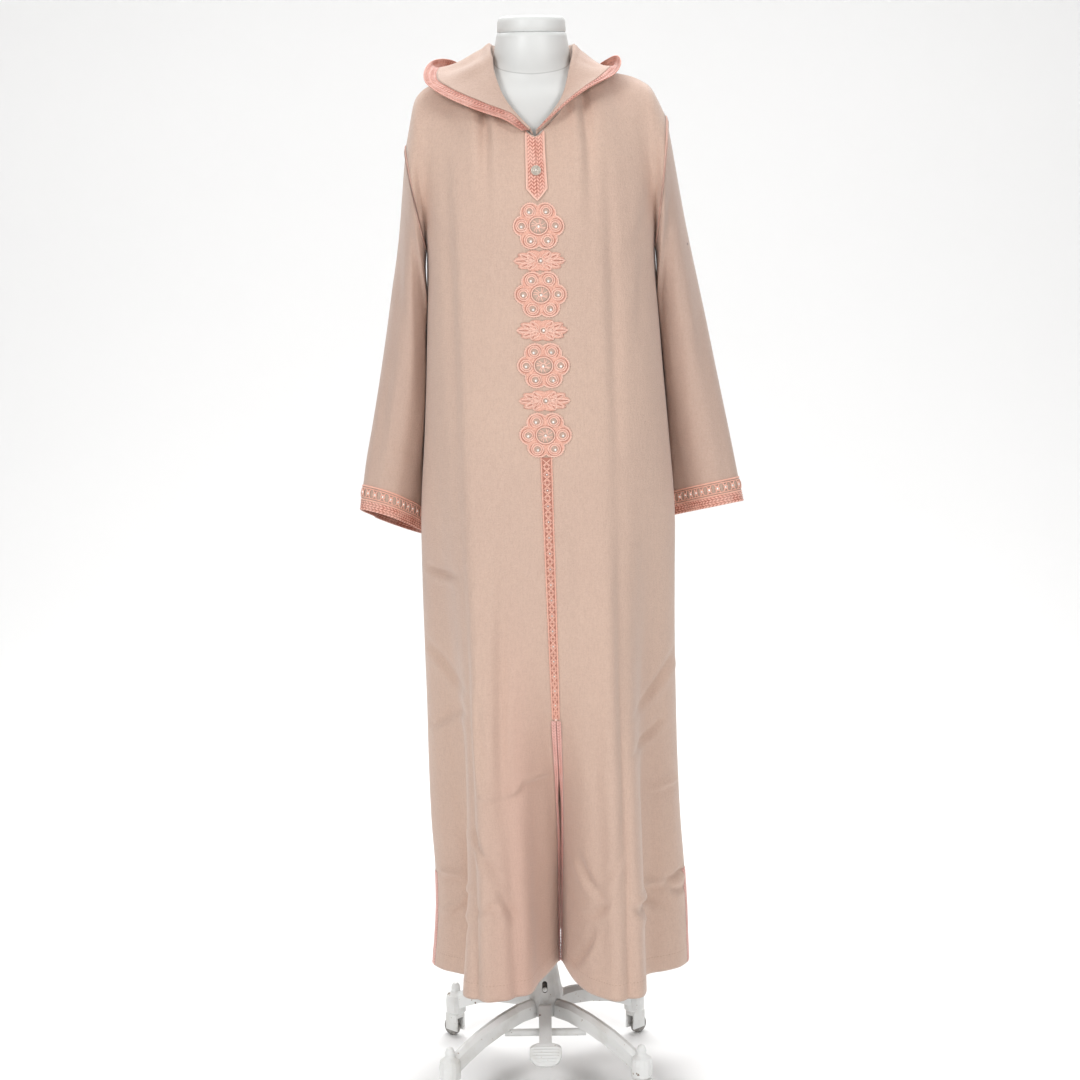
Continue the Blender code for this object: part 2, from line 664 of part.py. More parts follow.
def turned(name, look, profile, sides, middle=(0.0, 0.0, 0.0), axis="Z", closed=False, flat=False):
    """A turned body: (radius, height) points from one end to the other, or round a loop if closed."""
    points, faces = [], []
    rings = []
    for radius, height in profile:
        if radius < 1e-6:
            rings.append([len(points)] * sides)
            points.append((0.0, 0.0, height))
            continue
        rings.append(list(range(len(points), len(points) + sides)))
        for j in range(sides):
            angle = 2 * math.pi * (j + 0.5) / sides
            points.append((radius * math.cos(angle), radius * math.sin(angle), height))
    runs = list(zip(rings, rings[1:] + (rings[:1] if closed else [])))
    for low, high in runs:
        for j in range(sides):
            k = (j + 1) % sides
            face = [low[j], low[k], high[k], high[j]]
            face = [p for n, p in enumerate(face) if p not in face[:n]]
            if len(face) > 2:
                faces.append(face)
    if not closed:
        for ring in (rings[0], rings[-1]):
            if len(set(ring)) > 1:
                faces.append(ring)
    points = [Vector(point) for point in points]
    if axis == "X":
        points = [Vector((p.z, p.x, p.y)) for p in points]
    if axis == "Y":
        points = [Vector((p.x, p.z, p.y)) for p in points]
    points = [p + Vector(middle) for p in points]
    return add_object(name, points, faces, look, smooth=not flat)


def prism(name, look, outline, start, end, turn=0.0, middle=(0.0, 0.0, 0.0)):
    """An outline of (y, z) points drawn out along X from start to end, turned about Z and moved."""
    points = [Vector((x, y, z)) for x in (start, end) for y, z in outline]
    count = len(outline)
    faces = [tuple(range(count)), tuple(range(count, 2 * count))]
    for j in range(count):
        k = (j + 1) % count
        faces.append((j, k, count + k, count + j))
    cosine, sine = math.cos(turn), math.sin(turn)
    points = [Vector((p.x * cosine - p.y * sine, p.x * sine + p.y * cosine, p.z)) for p in points]
    points = [p + Vector(middle) for p in points]
    return add_object(name, points, faces, look, smooth=False)


def helper(made):
    """Marks an object as a guide for a Boolean."""
    made.hide_render = True
    made.display_type = "WIRE"
    return made


def combine(target, other, operation):
    """Joins a helper to an object, or cuts it out."""
    step = target.modifiers.new(operation.title(), "BOOLEAN")
    step.operation = operation
    step.solver = "EXACT"
    step.object = helper(other)


def panel_masks(grid, face):
    """Which cells of a panel are cloth: not those of the slits' braids."""
    rows, columns = grid.shape[0] - 1, grid.shape[1] - 1
    keep = np.ones((rows, columns), bool)
    slit_rows = ROW_HEIGHTS.index(SLIT_TOP_Z)
    side_rows = ROW_HEIGHTS.index(SIDE_SLIT_Z)
    middle = columns // 2
    if face == "front":
        keep[:slit_rows, middle - 1 : middle + 1] = False
    keep[:side_rows, 0] = False
    keep[:side_rows, -1] = False
    return keep


def strip(name, look, grid, normals, column, rows, free_edge, gap):
    """A braid along one column of cells of a panel, stopping short of its free edge."""
    part = grid[: rows + 1, column : column + 2].copy()
    part_normals = normals[: rows + 1, column : column + 2]
    fixed_edge = 1 - free_edge
    across = part[:, fixed_edge] - part[:, free_edge]
    across /= np.linalg.norm(across, axis=1)[:, None]
    part[:, free_edge] += across * gap
    proud = (BRAID - CLOTH) * 0.5
    return wall(name, look, part + part_normals * proud, part_normals, thick=BRAID, trim=SEAM_GAP)


def beside_body(place):
    """The place itself, or if the body of the kaftan is in its way the nearest one just clear of it."""
    x, y, z = place
    middle = along(SECTIONS, min(z, YOKE_Z))[5]
    angle = math.degrees(math.atan2(x - middle, -y))
    least = reach(np.array([angle]), min(z, YOKE_Z))[0] + SLEEVE_CLEAR
    away = math.hypot(x - middle, y)
    if away >= least:
        return place
    return np.array([middle + (x - middle) * least / away, y * least / away, z])


def sleeve_grid(side, front, back):
    """Rings of a sleeve, the first on the armhole edges of the panels, the last at the cuff."""
    edge = 0 if side < 0 else -1
    other = -1 if side < 0 else 0
    foot = len(ROW_HEIGHTS) - 1
    armhole = np.concatenate([front[foot:, edge], back[foot:-1, other][::-1][:-1]])
    count = len(armhole)
    rows = [armhole]
    table = SLEEVE_LEFT if side < 0 else SLEEVE_RIGHT
    for step in range(1, SLEEVE_ROWS + 1):
        drop = step / SLEEVE_ROWS
        row = along(table, drop)
        outer, inner, half, yaw = row[1:4], row[4:7], row[7], math.radians(row[8])
        middle = (outer + inner) / 2
        depth = half * np.array([math.sin(yaw), -math.cos(yaw), 0.0])
        ring = []
        for j in range(count):
            share = j / count
            angle = 2 * math.pi * share
            swell = 1.0
            for fold in SLEEVE_FOLDS:
                away = (share - fold.at + 0.5) % 1.0 - 0.5
                grown = smooth_step((drop - fold.start) / 0.25)
                swell += fold.depth / half * grown * math.exp(-((away / fold.width) ** 2))
            spread = (inner - middle) * math.cos(angle) + depth * math.sin(angle)
            ring.append(beside_body(middle + spread * swell))
        rows.append(np.array(ring))
    grid = np.array(rows)
    if side > 0:
        grid = grid[:, ::-1]
    return grid


def cut_rings(grid, from_end):
    """The ring that lies a distance before a sleeve's end, measured along each column."""
    found = []
    for column in grid.transpose(1, 0, 2)[:, ::-1]:
        found.append(at_distance(column, from_end))
    return np.array(found)


def hood_section(turn, samples):
    """Points of the hood from its crest beside the neck to its rim."""
    row = along(HOOD, turn)
    crest, rim, drop, flare = row[1:4], row[4:7], row[7], row[8]
    out = np.array([rim[0] - crest[0], rim[1] - crest[1], 0.0])
    out /= np.linalg.norm(out)
    down = np.array([0.0, 0.0, -4 / 3 * drop])
    first = crest + (rim - crest) * 0.3 + down + out * flare
    second = rim + (crest - rim) * 0.2 + down + out * flare
    return np.array([bezier(crest, first, second, rim, t) for t in np.linspace(0, 1, samples)])


def hood_foot(turn):
    """Where the hood is sewn on, just inside the neckline."""
    side = -1 if turn < 0 else 1
    share = along(HOOD_FOOT, abs(turn))[1]
    place = neckline("front", side, share) if share < 1 else neckline("back", side, 2 - share)
    inward = np.array([-place[0], -0.02 - place[1], 0.0])
    return place + inward / np.linalg.norm(inward) * HOOD_SEAM_IN - np.array([0.0, 0.0, SEAM_GAP])


def clear_of_panels(place, front, back):
    """The place itself, or if a panel is in its way the nearest one in front of it or behind it."""
    x, y, z = place
    if y < 0:
        return np.array([x, min([y] + [depth - HOOD_CLEAR for depth in front.depth_at(x, z)]), z])
    return np.array([x, max([y] + [depth + HOOD_CLEAR for depth in back.depth_at(x, z)]), z])


def hood_grids(front, back):
    """Points of the hood's cloth and of the braid along its rim."""
    cloth, braid = [], []
    for step in range(HOOD_COLUMNS + 1):
        turn = -1 + 2 * step / HOOD_COLUMNS
        run = hood_section(turn, 41)
        run = np.array([clear_of_panels(place, front, back) for place in run])
        whole = length(run)
        edge = max(whole - HOOD_BRAID, whole * 0.25)
        column = [hood_foot(turn)]
        for k in range(HOOD_ROWS):
            column.append(at_distance(run, edge * k / (HOOD_ROWS - 1)))
        cloth.append(column)
        braid.append([at_distance(run, edge), at_distance(run, (edge + whole) / 2), at_distance(run, whole)])
    return np.array(cloth).transpose(1, 0, 2)[:, ::-1], np.array(braid).transpose(1, 0, 2)[:, ::-1]


def rosette_outline(motif):
    """Six round lobes about the middle."""
    points = []
    for step in range(30):
        angle = 2 * math.pi * step / 30
        scallop = 0.84 + 0.16 * abs(math.cos(3 * angle)) ** 0.7
        x = motif.half_width * scallop * math.cos(angle)
        points.append((x, motif.half_height * scallop * math.sin(angle)))
    return points


def leaf_outline(motif):
    """Pointed leaves to each side with small ones between."""
    points = []
    for step in range(28):
        angle = 2 * math.pi * step / 28
        notch = 0.76 + 0.24 * abs(math.cos(3.5 * angle)) ** 0.8
        x = motif.half_width * notch * math.copysign(abs(math.cos(angle)) ** 0.9, math.cos(angle))
        points.append((x, motif.half_height * notch * math.sin(angle)))
    return points


def add_kaftan(cloth, braid, thread, silver):
    """Every piece of the garment."""
    front = panel_grid("front")
    back = panel_grid("back")
    left = sleeve_grid(-1, front, back)
    right = sleeve_grid(1, front, back)
    front_n, back_n, left_n, right_n = seam_normals(front, back, left, right)

    wall("front_panel", cloth, front, front_n, keep=panel_masks(front, "front"))
    wall("back_panel", cloth, back, back_n, keep=panel_masks(back, "back"))

    slit_rows = ROW_HEIGHTS.index(SLIT_TOP_Z)
    side_rows = ROW_HEIGHTS.index(SIDE_SLIT_Z)
    middle = (front.shape[1] - 1) // 2
    strip("slit_braid_left", braid, front, front_n, middle - 1, slit_rows, 1, SLIT_GAP / 2)
    strip("slit_braid_right", braid, front, front_n, middle, slit_rows, 0, SLIT_GAP / 2)
    last = front.shape[1] - 2
    strip("side_braid_front_left", braid, front, front_n, 0, side_rows, 0, SEAM_GAP)
    strip("side_braid_front_right", braid, front, front_n, last, side_rows, 1, SEAM_GAP)
    last = back.shape[1] - 2
    strip("side_braid_back_right", braid, back, back_n, 0, side_rows, 0, SEAM_GAP)
    strip("side_braid_back_left", braid, back, back_n, last, side_rows, 1, SEAM_GAP)

    for name, grid, normals in (("left", left, left_n), ("right", right, right_n)):
        add_sleeve(name, cloth, braid, thread, grid, normals)
    add_hood(cloth, braid, Panel(front, front_n), Panel(back, back_n))
    add_front_trim(braid, thread, silver, Panel(front, front_n))


def add_sleeve(name, cloth, braid, thread, grid, normals):
    """A sleeve, its cuff braid and the embroidered band above it."""
    cuff = cut_rings(grid, CUFF_BRAID)
    body = np.concatenate([grid[:-1], cuff[None]])
    out = -1 if name == "left" else 1
    body[0] += np.array([out * SEAM_GAP, 0.0, -SEAM_GAP])
    wall(f"sleeve_{name}", cloth, body, normals, closed=True, trim=SEAM_GAP)
    proud = (BRAID - CLOTH) * 0.5
    edge = np.array([cuff, grid[-1]])
    edge_n = np.array([normals[-1], normals[-1]])
    wall(f"cuff_braid_{name}", braid, edge + edge_n * proud, edge_n, thick=BRAID, closed=True)
    band_foot = cut_rings(body, 0.0015)
    band_top = cut_rings(body, 0.0015 + CUFF_BAND)
    band = np.array([band_top, band_foot])
    raised = LIFT * 2 + TRIM_THICK
    wall(f"cuff_band_{name}", thread, band + edge_n * raised, edge_n, thick=TRIM_THICK, closed=True)


def add_hood(cloth, braid, front, back):
    """The hood and the braid along its rim."""
    hood, rim = hood_grids(front, back)
    hood_n, rim_n = shared_normals([(hood, False), (rim, False)])
    wall("hood", cloth, hood, hood_n)
    proud = (BRAID - CLOTH) * 0.5
    wall("hood_braid", braid, rim + rim_n * proud, rim_n, thick=BRAID, trim=SEAM_GAP * 2)


def add_front_trim(braid, thread, silver, panel):
    """Placket, button, flowers, leaves and stem."""
    tip, shoulder = panel.row_of(PLACKET_TIP_Z), panel.row_of(PLACKET_SHOULDER_Z)
    top = len(panel.grid) - 1 - PLACKET_SHORT
    steps = (-PLACKET_HALF, -SLIT_BRAID, -SLIT_BRAID / 2, 0.0, SLIT_BRAID / 2, SLIT_BRAID, PLACKET_HALF)
    rows = [[(across * 0.08, tip) for across in steps]]
    for row in panel.rows_between(shoulder, top):
        rows.append([(across, row) for across in steps])
    plate("placket", braid, panel, rows, PLACKET_THICK)

    seat = panel.place(0.0, BUTTON_Z, LIFT + PLACKET_THICK + SEAM_GAP)
    profile = ((0.75, 0.0), (1.0, 0.0012), (0.9, 0.0030), (0.5, BUTTON_THICK))
    profile = [(BUTTON_RADIUS * share, -height) for share, height in profile]
    button = turned("button", silver, profile, 14, axis="Y")
    above = panel.place(0.0, BUTTON_Z + 0.01, 0.0) - panel.place(0.0, BUTTON_Z - 0.01, 0.0)
    button.rotation_euler = (math.atan2(above[1], above[2]) * -1.0, 0.0, 0.0)
    button.location = Vector(seat) + Vector((CENTRE_X, CENTRE_Y, 0.0))

    flower = ((0, 0.7), (0.36, 0.45), (0.70, 1.0), (1.0, 0.55))
    for number, motif in enumerate(ROSETTES, 1):
        outline = rosette_outline(motif)
        round_plate(f"rosette_{number}", thread, panel, motif, outline, flower, TRIM_THICK * 1.5)
    leaf = ((0, 1.0), (0.55, 1.0), (1.0, 0.5))
    for number, motif in enumerate(LEAF_SPRAYS, 1):
        round_plate(f"leaf_spray_{number}", thread, panel, motif, leaf_outline(motif), leaf, TRIM_THICK)
    foot, top = panel.row_of(SLIT_TOP_Z + STEM_CLEAR), panel.row_of(STEM_TOP_Z)
    rows = []
    for row in panel.rows_between(foot, top):
        half = STEM_FOOT_HALF + (STEM_TOP_HALF - STEM_FOOT_HALF) * (row - foot) / (top - foot)
        rows.append([(half * side, row) for side in (-1, 0, 1)])
    plate("stem_band", thread, panel, rows, TRIM_THICK)


def add_form(shell, metal):
    """Torso with its neck, the neck cap and the mast."""
    points, rings = [], []
    for z, half, front, back, shape in FORM:
        rings.append(list(range(len(points), len(points) + FORM_SIDES)))
        for j in range(FORM_SIDES):
            angle = 2 * math.pi * j / FORM_SIDES
            sine, cosine = math.sin(angle), math.cos(angle)
            depth = front if cosine > 0 else back
            away = (abs(sine / half) ** shape + abs(cosine / depth) ** shape) ** (-1 / shape)
            points.append((away * sine, -away * cosine, z))
    faces = [tuple(rings[0]), tuple(rings[-1])]
    for low, high in zip(rings, rings[1:]):
        for j in range(FORM_SIDES):
            k = (j + 1) % FORM_SIDES
            faces.append((low[j], low[k], high[k], high[j]))
    add_object("torso", points, faces, shell)
    rise = CAP_TOP_Z - CAP_FOOT_Z
    profile = ((1.0, 0.0), (0.985, rise * 0.7), (0.90, rise))
    profile = [(CAP_HALF * share, CAP_FOOT_Z + height) for share, height in profile]
    turned("neck_cap", shell, profile, 24)
    mast = [(MAST_RADIUS, MAST_FOOT_Z), (MAST_RADIUS, MAST_TOP_Z)]
    turned("mast", metal, mast, 16)


def add_leg(number, quarter, paint):
    """An arched leg with the socket and acorn at its end."""
    path = (
        (LEG_ROOT, 0.1090),
        (0.060, 0.1085),
        (0.100, 0.1015),
        (0.145, 0.0890),
        (0.180, 0.0745),
        (LEG_REACH - 0.004, 0.0620),
    )
    side = ((-1.0, -0.5), (1.0, -0.5), (1.0, 0.25), (0.35, 0.5), (-0.35, 0.5), (-1.0, 0.25))
    angle = math.radians(45 + 90 * quarter)
    out = Vector((math.cos(angle), math.sin(angle), 0.0))
    beside = Vector((-out.y, out.x, 0.0))
    points, faces = [], []
    for n, (radius, z) in enumerate(path):
        before, after = path[max(n - 1, 0)], path[min(n + 1, len(path) - 1)]
        lean = math.atan2(after[1] - before[1], after[0] - before[0]) if n else 0.0
        up = Vector((0, 0, 1)) * math.cos(lean) - out * math.sin(lean)
        slim = 1.0 - 0.2 * n / (len(path) - 1)
        place = out * radius + Vector((0, 0, z))
        for across, high in side:
            points.append(place + beside * (across * LEG_HALF_WIDTH * slim) + up * (high * LEG_HEIGHT))
    wide = len(side)
    for n in range(len(path) - 1):
        for j in range(wide):
            k = (j + 1) % wide
            faces.append((n * wide + j, n * wide + k, (n + 1) * wide + k, (n + 1) * wide + j))
    faces.append(tuple(range(wide)))
    faces.append(tuple(range((len(path) - 1) * wide, len(path) * wide)))
    leg = add_object(f"leg_{number}", points, faces, paint, smooth=False)
    profile = [
        (0.0125, SOCKET_FOOT_Z),
        (0.0165, 0.044),
        (0.0172, 0.062),
        (0.0155, 0.072),
        (0.0085, 0.0775),
        (0.0075, 0.0800),
        (0.0078, 0.0850),
        (0.0050, 0.0920),
        (0.0, 0.0945),
    ]
    foot = out * LEG_REACH
    socket = turned(f"socket_{number}", paint, profile, 16, middle=(foot.x, foot.y, 0.0))
    combine(leg, socket, "UNION")


def add_caster(number, quarter, paint, rubber):
    """A swivel fork and its wheel, trailing outwards from the socket."""
    angle = math.radians(45 + 90 * quarter)
    out = Vector((math.cos(angle), math.sin(angle), 0.0))
    stem = out * LEG_REACH
    inner = WHEEL_HALF_WIDTH + FORK_GAP
    outer = inner + FORK_WALL
    top = SOCKET_FOOT_Z - SEAM_GAP
    roof = 0.0335
    foot = 0.011
    outline = [(-outer, foot), (-inner, foot), (-inner, roof), (inner, roof)]
    outline += [(inner, foot), (outer, foot), (outer, top), (-outer, top)]
    fork = prism(f"caster_fork_{number}", paint, outline, -0.010, CASTER_TRAIL + 0.006, turn=angle)
    fork.location = Vector((stem.x + CENTRE_X, stem.y + CENTRE_Y, 0.0))
    profile = [
        (WHEEL_RADIUS * 0.85, -WHEEL_HALF_WIDTH),
        (WHEEL_RADIUS, -WHEEL_HALF_WIDTH * 0.6),
        (WHEEL_RADIUS, WHEEL_HALF_WIDTH * 0.6),
        (WHEEL_RADIUS * 0.85, WHEEL_HALF_WIDTH),
    ]
    wheel = turned(f"caster_wheel_{number}", rubber, profile, WHEEL_SIDES, axis="Y")
    axle = stem + out * CASTER_TRAIL
    flat_radius = WHEEL_RADIUS * math.cos(math.pi / WHEEL_SIDES)
    wheel.rotation_euler = (0.0, 0.0, angle)
    wheel.location = Vector((axle.x + CENTRE_X, axle.y + CENTRE_Y, flat_radius))


def add_stand(paint, metal, rubber):
    """Column, legs, casters, cross rod and pedal."""
    profile = [
        (BORE_RADIUS, COLUMN_TOP_Z),
        (COLUMN_RADIUS, COLUMN_TOP_Z),
        (COLUMN_RADIUS, 0.200),
        (0.0215, 0.170),
        (0.0262, 0.142),
        (HUB_RADIUS, 0.128),
        (HUB_RADIUS, HUB_FOOT_Z + 0.002),
        (HUB_RADIUS - 0.003, HUB_FOOT_Z),
        (0.0, HUB_FOOT_Z),
        (0.0, BORE_FOOT_Z),
        (BORE_RADIUS, BORE_FOOT_Z),
    ]
    add_column(profile, paint)
    for quarter in range(4):
        add_leg(quarter + 1, quarter, paint)
        add_caster(quarter + 1, quarter, paint, rubber)
    rod = [(ROD_RADIUS, -ROD_HALF_LENGTH), (ROD_RADIUS, ROD_HALF_LENGTH)]
    turned("pedal_rod", metal, rod, 14, middle=(0.0, ROD_Y, ROD_Z), axis="X")
    add_pedal(paint)


def add_column(profile, paint):
    """The iron column: a solid post with a blind bore for the mast."""
    outer = [point for point in profile if point[0] > BORE_RADIUS]
    post = [(0.0, HUB_FOOT_Z)] + outer[::-1] + [(0.0, COLUMN_TOP_Z)]
    column = turned("stand_column", paint, post, 16)
    corner_radius = BORE_RADIUS / math.cos(math.pi / 16)
    bore = [(corner_radius, BORE_FOOT_Z), (corner_radius, COLUMN_TOP_Z + 0.01)]
    combine(column, turned("mast_bore", paint, bore, 16), "DIFFERENCE")


def add_pedal(paint):
    """The foot pedal: an arm on the cross rod with a ribbed plate at its end."""
    arm = [
        (-0.0355, 0.1150),
        (-0.0430, 0.1220),
        (-0.0520, 0.1130),
        (-0.0720, 0.0975),
        (-0.1130, 0.0800),
        (-0.1130, 0.0730),
        (-0.0720, 0.0745),
        (-0.0520, 0.0745),
        (-0.0480, 0.0870),
    ]
    pedal = prism("pedal", paint, arm, -PEDAL_ARM_HALF, PEDAL_ARM_HALF)
    plate_side = [
        (-0.1080, 0.0820),
        (-0.1210, 0.0800),
        (-0.1410, 0.0600),
        (-0.1420, 0.0540),
        (-0.1370, 0.0550),
        (-0.1200, 0.0720),
        (-0.1080, 0.0745),
    ]
    combine(pedal, prism("pedal_plate", paint, plate_side, -PEDAL_HALF_WIDTH, PEDAL_HALF_WIDTH), "UNION")
    hole = [(ROD_RADIUS + SEAM_GAP, -0.03), (ROD_RADIUS + SEAM_GAP, 0.03)]
    combine(pedal, turned("pedal_eye", paint, hole, 14, middle=(0.0, ROD_Y, ROD_Z), axis="X"), "DIFFERENCE")


def main():
    for old in list(bpy.data.objects):
        bpy.data.objects.remove(old, do_unlink=True)
    cloth = material("kaftan_cloth", (0.67, 0.47, 0.38), 0.85)
    braid = material("peach_braid", (0.85, 0.42, 0.31), 0.55)
    thread = material("peach_embroidery", (0.90, 0.50, 0.38), 0.50)
    silver = material("button_silver", (0.75, 0.74, 0.72), 0.25, 1.0)
    shell = material("form_shell", (0.86, 0.86, 0.84), 0.30)
    metal = material("mast_steel", (0.75, 0.75, 0.74), 0.35, 1.0)
    paint = material("stand_paint", (0.85, 0.86, 0.86), 0.40)
    rubber = material("wheel_rubber", (0.30, 0.29, 0.28), 0.70)
    add_kaftan(cloth, braid, thread, silver)
    add_form(shell, metal)
    add_stand(paint, metal, rubber)


main()
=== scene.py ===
"""Looks of a hooded kaftan on a limbless dress form with a wheeled iron stand.

Metres, +Z up, front towards -Y. Each piece of cloth is drawn finer on the grid of its solid,
and its small creases, braids, cords and stones are laid on that grid.
"""

import math
from collections import namedtuple

import bpy
import numpy as np
from mathutils import Matrix, Vector


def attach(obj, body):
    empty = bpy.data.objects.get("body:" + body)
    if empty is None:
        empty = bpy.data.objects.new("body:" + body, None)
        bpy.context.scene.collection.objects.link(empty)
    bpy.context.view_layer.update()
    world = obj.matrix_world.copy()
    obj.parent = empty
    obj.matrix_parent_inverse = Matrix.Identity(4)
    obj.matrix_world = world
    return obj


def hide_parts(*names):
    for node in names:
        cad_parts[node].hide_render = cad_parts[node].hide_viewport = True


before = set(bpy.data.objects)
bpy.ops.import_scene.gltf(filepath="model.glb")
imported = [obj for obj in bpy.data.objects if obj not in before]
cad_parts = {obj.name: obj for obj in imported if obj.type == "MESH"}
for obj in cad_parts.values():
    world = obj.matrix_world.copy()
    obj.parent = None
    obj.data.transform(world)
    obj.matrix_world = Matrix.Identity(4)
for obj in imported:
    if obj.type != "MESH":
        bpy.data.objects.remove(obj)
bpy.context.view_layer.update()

# Cloth and trim
CLOTH = 0.0012
SEAM_GAP = 0.0003
LIFT = 0.0006
PLACKET_THICK = 0.0014

# The whole is moved by this so that its box is centred over the origin
CENTRE_X = -0.0205
CENTRE_Y = 0.004

# Heights on the kaftan
HEM_Z = 0.177
SLIT_RISE = 0.019
SLIT_TOP_Z = 0.604
SIDE_SLIT_Z = 0.330
YOKE_Z = 1.310

# Braids that finish the slits, the cuffs and the hood
SLIT_BRAID = 0.0120
SIDE_BRAID = 0.0080
CUFF_BRAID = 0.0150
CUFF_BAND = 0.0210
HOOD_BRAID = 0.0200

# Columns of each panel, counted from the middle to one side
FRONT_NECK_COLUMNS = 5
BACK_NECK_COLUMNS = 4
SHOULDER_COLUMNS = 11
YOKE_ROWS = 9
SIDE_SHAPE = 2.3

# Widths and depths of the skirt and body, without folds
Section = namedtuple("Section", "z left right front back middle")
SECTIONS = (
    Section(0.170, -0.181, 0.232, -0.180, 0.150, 0.026),
    Section(0.280, -0.173, 0.229, -0.176, 0.147, 0.027),
    Section(0.444, -0.179, 0.218, -0.172, 0.144, 0.028),
    Section(0.605, -0.180, 0.213, -0.167, 0.140, 0.023),
    Section(0.765, -0.182, 0.211, -0.163, 0.136, 0.019),
    Section(0.890, -0.182, 0.212, -0.160, 0.131, 0.016),
    Section(1.080, -0.170, 0.198, -0.156, 0.120, 0.012),
    Section(1.250, -0.164, 0.185, -0.154, 0.112, 0.009),
    Section(1.340, -0.163, 0.182, -0.150, 0.108, 0.006),
)

# Folds as bumps on the section: angle from the front, towards +X, and its change down to the hem
Fold = namedtuple("Fold", "name angle drift top full depth width")
FOLDS = (
    Fold("front_valley", -1, 0, 0.800, 0.200, -0.135, 14),
    Fold("left_ridge", -37, -2, 1.300, 0.180, 0.026, 12),
    Fold("left_hollow", -64, -2, 1.290, 0.180, -0.052, 15),
    Fold("right_ridge", 29, 2, 1.180, 0.180, 0.022, 11),
    Fold("right_hollow", 58, 4, 1.200, 0.180, -0.060, 16),
    Fold("back_middle", 178, 4, 1.200, 0.180, 0.020, 13),
    Fold("back_left_hollow", -152, -3, 1.150, 0.180, -0.034, 12),
    Fold("back_left_ridge", -128, 0, 1.100, 0.180, 0.018, 11),
    Fold("back_right_hollow", 149, 3, 1.060, 0.180, -0.038, 13),
    Fold("back_right_ridge", 123, 0, 1.150, 0.180, 0.016, 12),
)

ROW_HEIGHTS = (0.177, 0.215, 0.270, 0.330, 0.410, 0.505, 0.604, 0.700, 0.800, 0.910, 1.030, 1.160, 1.310)

# Seam over the shoulder, from the neck to where the sleeve is set on
Shoulder = namedtuple("Shoulder", "share x z")
SHOULDER_LEFT = (
    Shoulder(0.00, -0.069, 1.585),
    Shoulder(0.35, -0.112, 1.569),
    Shoulder(0.68, -0.158, 1.552),
    Shoulder(0.80, -0.175, 1.538),
    Shoulder(0.90, -0.184, 1.504),
    Shoulder(1.00, -0.192, 1.463),
)
SHOULDER_RIGHT = (
    Shoulder(0.00, 0.069, 1.585),
    Shoulder(0.35, 0.112, 1.573),
    Shoulder(0.70, 0.162, 1.559),
    Shoulder(0.82, 0.178, 1.548),
    Shoulder(0.92, 0.191, 1.525),
    Shoulder(1.00, 0.202, 1.502),
)

# Neckline, from the foot of the V round to the middle of the back
Neck = namedtuple("Neck", "share x y z")
NECK_FRONT = (
    Neck(0.00, 0.000, -0.1235, 1.4785),
    Neck(0.35, 0.029, -0.1110, 1.5030),
    Neck(0.65, 0.051, -0.0870, 1.5340),
    Neck(0.88, 0.065, -0.0450, 1.5670),
    Neck(1.00, 0.069, 0.0000, 1.5850),
)
NECK_BACK = (
    Neck(0.00, 0.000, 0.0750, 1.5800),
    Neck(0.55, 0.047, 0.0580, 1.5830),
    Neck(1.00, 0.069, 0.0000, 1.5850),
)
V_MIDDLE = 0.003

# How each column of the yoke leaves the chest and arrives at the shoulder
Yoke = namedtuple("Yoke", "share foot_out foot_up head_out head_down")
YOKE_FRONT = (
    Yoke(0.00, 0.003, 0.055, 0.011, 0.052),
    Yoke(0.12, 0.004, 0.060, 0.013, 0.050),
    Yoke(0.22, 0.006, 0.085, 0.036, 0.034),
    Yoke(0.32, 0.008, 0.110, 0.076, 0.010),
    Yoke(0.62, 0.016, 0.100, 0.074, 0.010),
    Yoke(0.82, 0.036, 0.085, 0.070, 0.010),
    Yoke(0.94, 0.076, 0.035, 0.088, 0.006),
    Yoke(1.00, 0.100, 0.000, 0.098, 0.000),
)
YOKE_BACK = (
    Yoke(0.00, 0.006, 0.100, 0.016, 0.070),
    Yoke(0.25, 0.008, 0.100, 0.064, 0.010),
    Yoke(0.62, 0.020, 0.100, 0.070, 0.010),
    Yoke(0.82, 0.046, 0.085, 0.074, 0.010),
    Yoke(0.94, 0.084, 0.035, 0.090, 0.006),
    Yoke(1.00, 0.100, 0.000, 0.098, 0.000),
)

# Sleeves as flattened rings: outer and inner points, half depth and turn of the flat ring
Ring = namedtuple("Ring", "drop out_x out_y out_z in_x in_y in_z half yaw")
SLEEVE_LEFT = (
    Ring(0.00, -0.192, 0.000, 1.463, -0.163, 0.000, 1.310, 0.074, 0),
    Ring(0.14, -0.199, 0.000, 1.395, -0.166, 0.010, 1.272, 0.073, 3),
    Ring(0.28, -0.206, -0.004, 1.320, -0.163, 0.038, 1.228, 0.069, 9),
    Ring(0.45, -0.221, -0.008, 1.205, -0.157, 0.060, 1.140, 0.062, 18),
    Ring(0.63, -0.239, -0.012, 1.085, -0.159, 0.066, 1.036, 0.054, 28),
    Ring(0.82, -0.258, -0.016, 0.985, -0.168, 0.070, 0.944, 0.046, 36),
    Ring(1.00, -0.268, -0.018, 0.914, -0.174, 0.074, 0.858, 0.039, 42),
)
